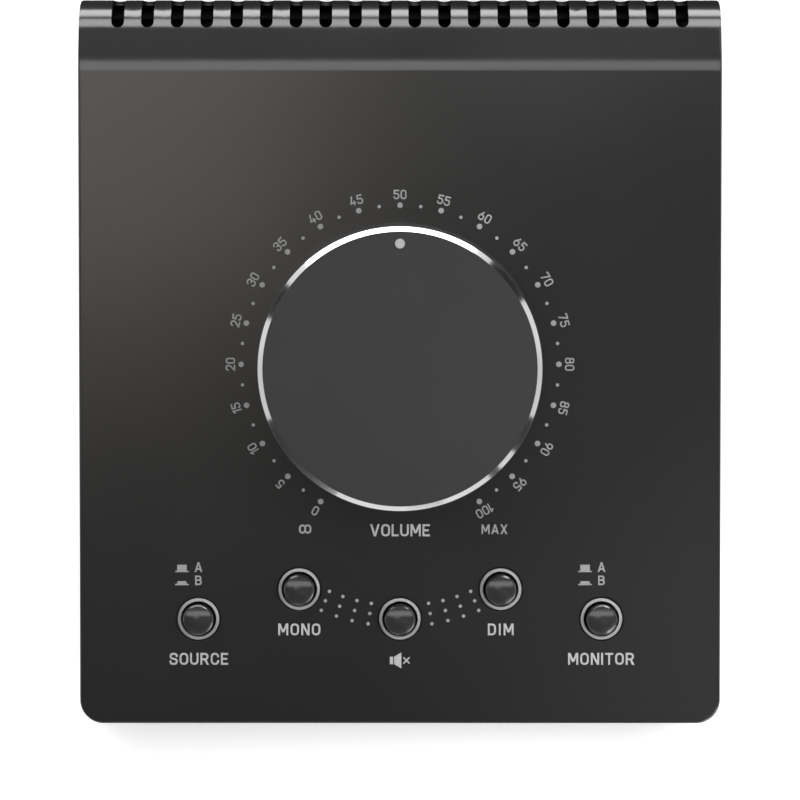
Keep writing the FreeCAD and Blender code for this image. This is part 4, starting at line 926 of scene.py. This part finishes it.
def stage_mesh(name, vertices, faces, material):
    """A mesh that isn't part of the object."""
    mesh = bpy.data.meshes.new(name)
    mesh.from_pydata(vertices, [], faces)
    mesh.materials.append(material)
    made = bpy.data.objects.new(name, mesh)
    bpy.context.scene.collection.objects.link(made)
    return made


BACKDROP_SIDES = 64
BACKDROP_RADIUS = 3.0
BACKDROP_RISE = 1.5


def make_backdrop():
    """A pale floor and a low white wall all round it."""
    sides = BACKDROP_SIDES
    rim = [BACKDROP_RADIUS * heading(360 * i / sides) for i in range(sides)]
    top = [point + Vector((0, 0, BACKDROP_RISE)) for point in rim]
    stage_mesh("floor", rim, [tuple(reversed(range(sides)))], white_backdrop("floor", 0.8, glow=0.62))
    panels = [(i, (i + 1) % sides, (i + 1) % sides + sides, i + sides) for i in range(sides)]
    stage_mesh("wall", rim + top, panels, white_backdrop("wall", 0.1, glow=1.0))


FLAGS = (
    # name, azimuth, its width in degrees, reach of its foot, reach of its top, height
    ("flag_left", -64.5, 16, 0.45, 0.45, 0.3),
    ("flag_right", 54, 21, 0.45, 0.45, 0.3),
    ("flag_front_right", 120.5, 15, 0.2, 0.2, 0.07),
    ("flag_front_left", -134, 40, 0.2, 0.2, 0.07),
    ("flag_front_narrow", 139, 5, 0.2, 0.2, 0.07),
    ("flag_front_middle", 170, 14, 0.2, 0.2, 0.07),
    ("flag_behind", 0, 100, 0.09, 0.25, 0.079),
)
FLAG_STEPS = 8
FLAG_FOOT = 1 * MM  # over the floor


def make_flags():
    """Dark cards that only show in reflections, where they break up the white that bright metal mirrors."""
    material, _ = plain_material("flag", 0.02)
    for name, azimuth, width, foot, top, height in FLAGS:
        turns = [azimuth + width * (step / FLAG_STEPS - 0.5) for step in range(FLAG_STEPS + 1)]
        lower = [foot * heading(turn) + Vector((0, 0, FLAG_FOOT)) for turn in turns]
        upper = [top * heading(turn) + Vector((0, 0, height)) for turn in turns]
        strips = [(i, i + 1, i + FLAG_STEPS + 2, i + FLAG_STEPS + 1) for i in range(FLAG_STEPS)]
        card = stage_mesh(name, lower + upper, strips, material)
        card.visible_camera = card.visible_diffuse = card.visible_shadow = card.visible_transmission = False


CEILING = 0.12  # how strongly the world lights the object
WHITE = 1.0  # what the camera sees of it


def make_world():
    """A dim even ceiling, which the camera sees as white."""
    world = bpy.data.worlds.new("studio")
    bpy.context.scene.world = world
    world.use_nodes = True
    nodes, links = world.node_tree.nodes, world.node_tree.links
    sky = nodes["Background"]
    rays = nodes.new("ShaderNodeLightPath")
    level = nodes.new("ShaderNodeMapRange")
    links.new(rays.outputs["Is Camera Ray"], level.inputs["Value"])
    level.inputs["To Min"].default_value = CEILING
    level.inputs["To Max"].default_value = WHITE
    links.new(level.outputs[0], sky.inputs["Strength"])
    sky.inputs["Color"].default_value = (1, 1, 1, 1)


def make_studio():
    make_backdrop()
    make_flags()
    make_world()
    for box in SOFTBOXES:
        softbox(*box)
    make_camera()
    bpy.context.scene.view_settings.view_transform = "Standard"


dress_nodes(make_finishes())
print_panel()
make_studio()
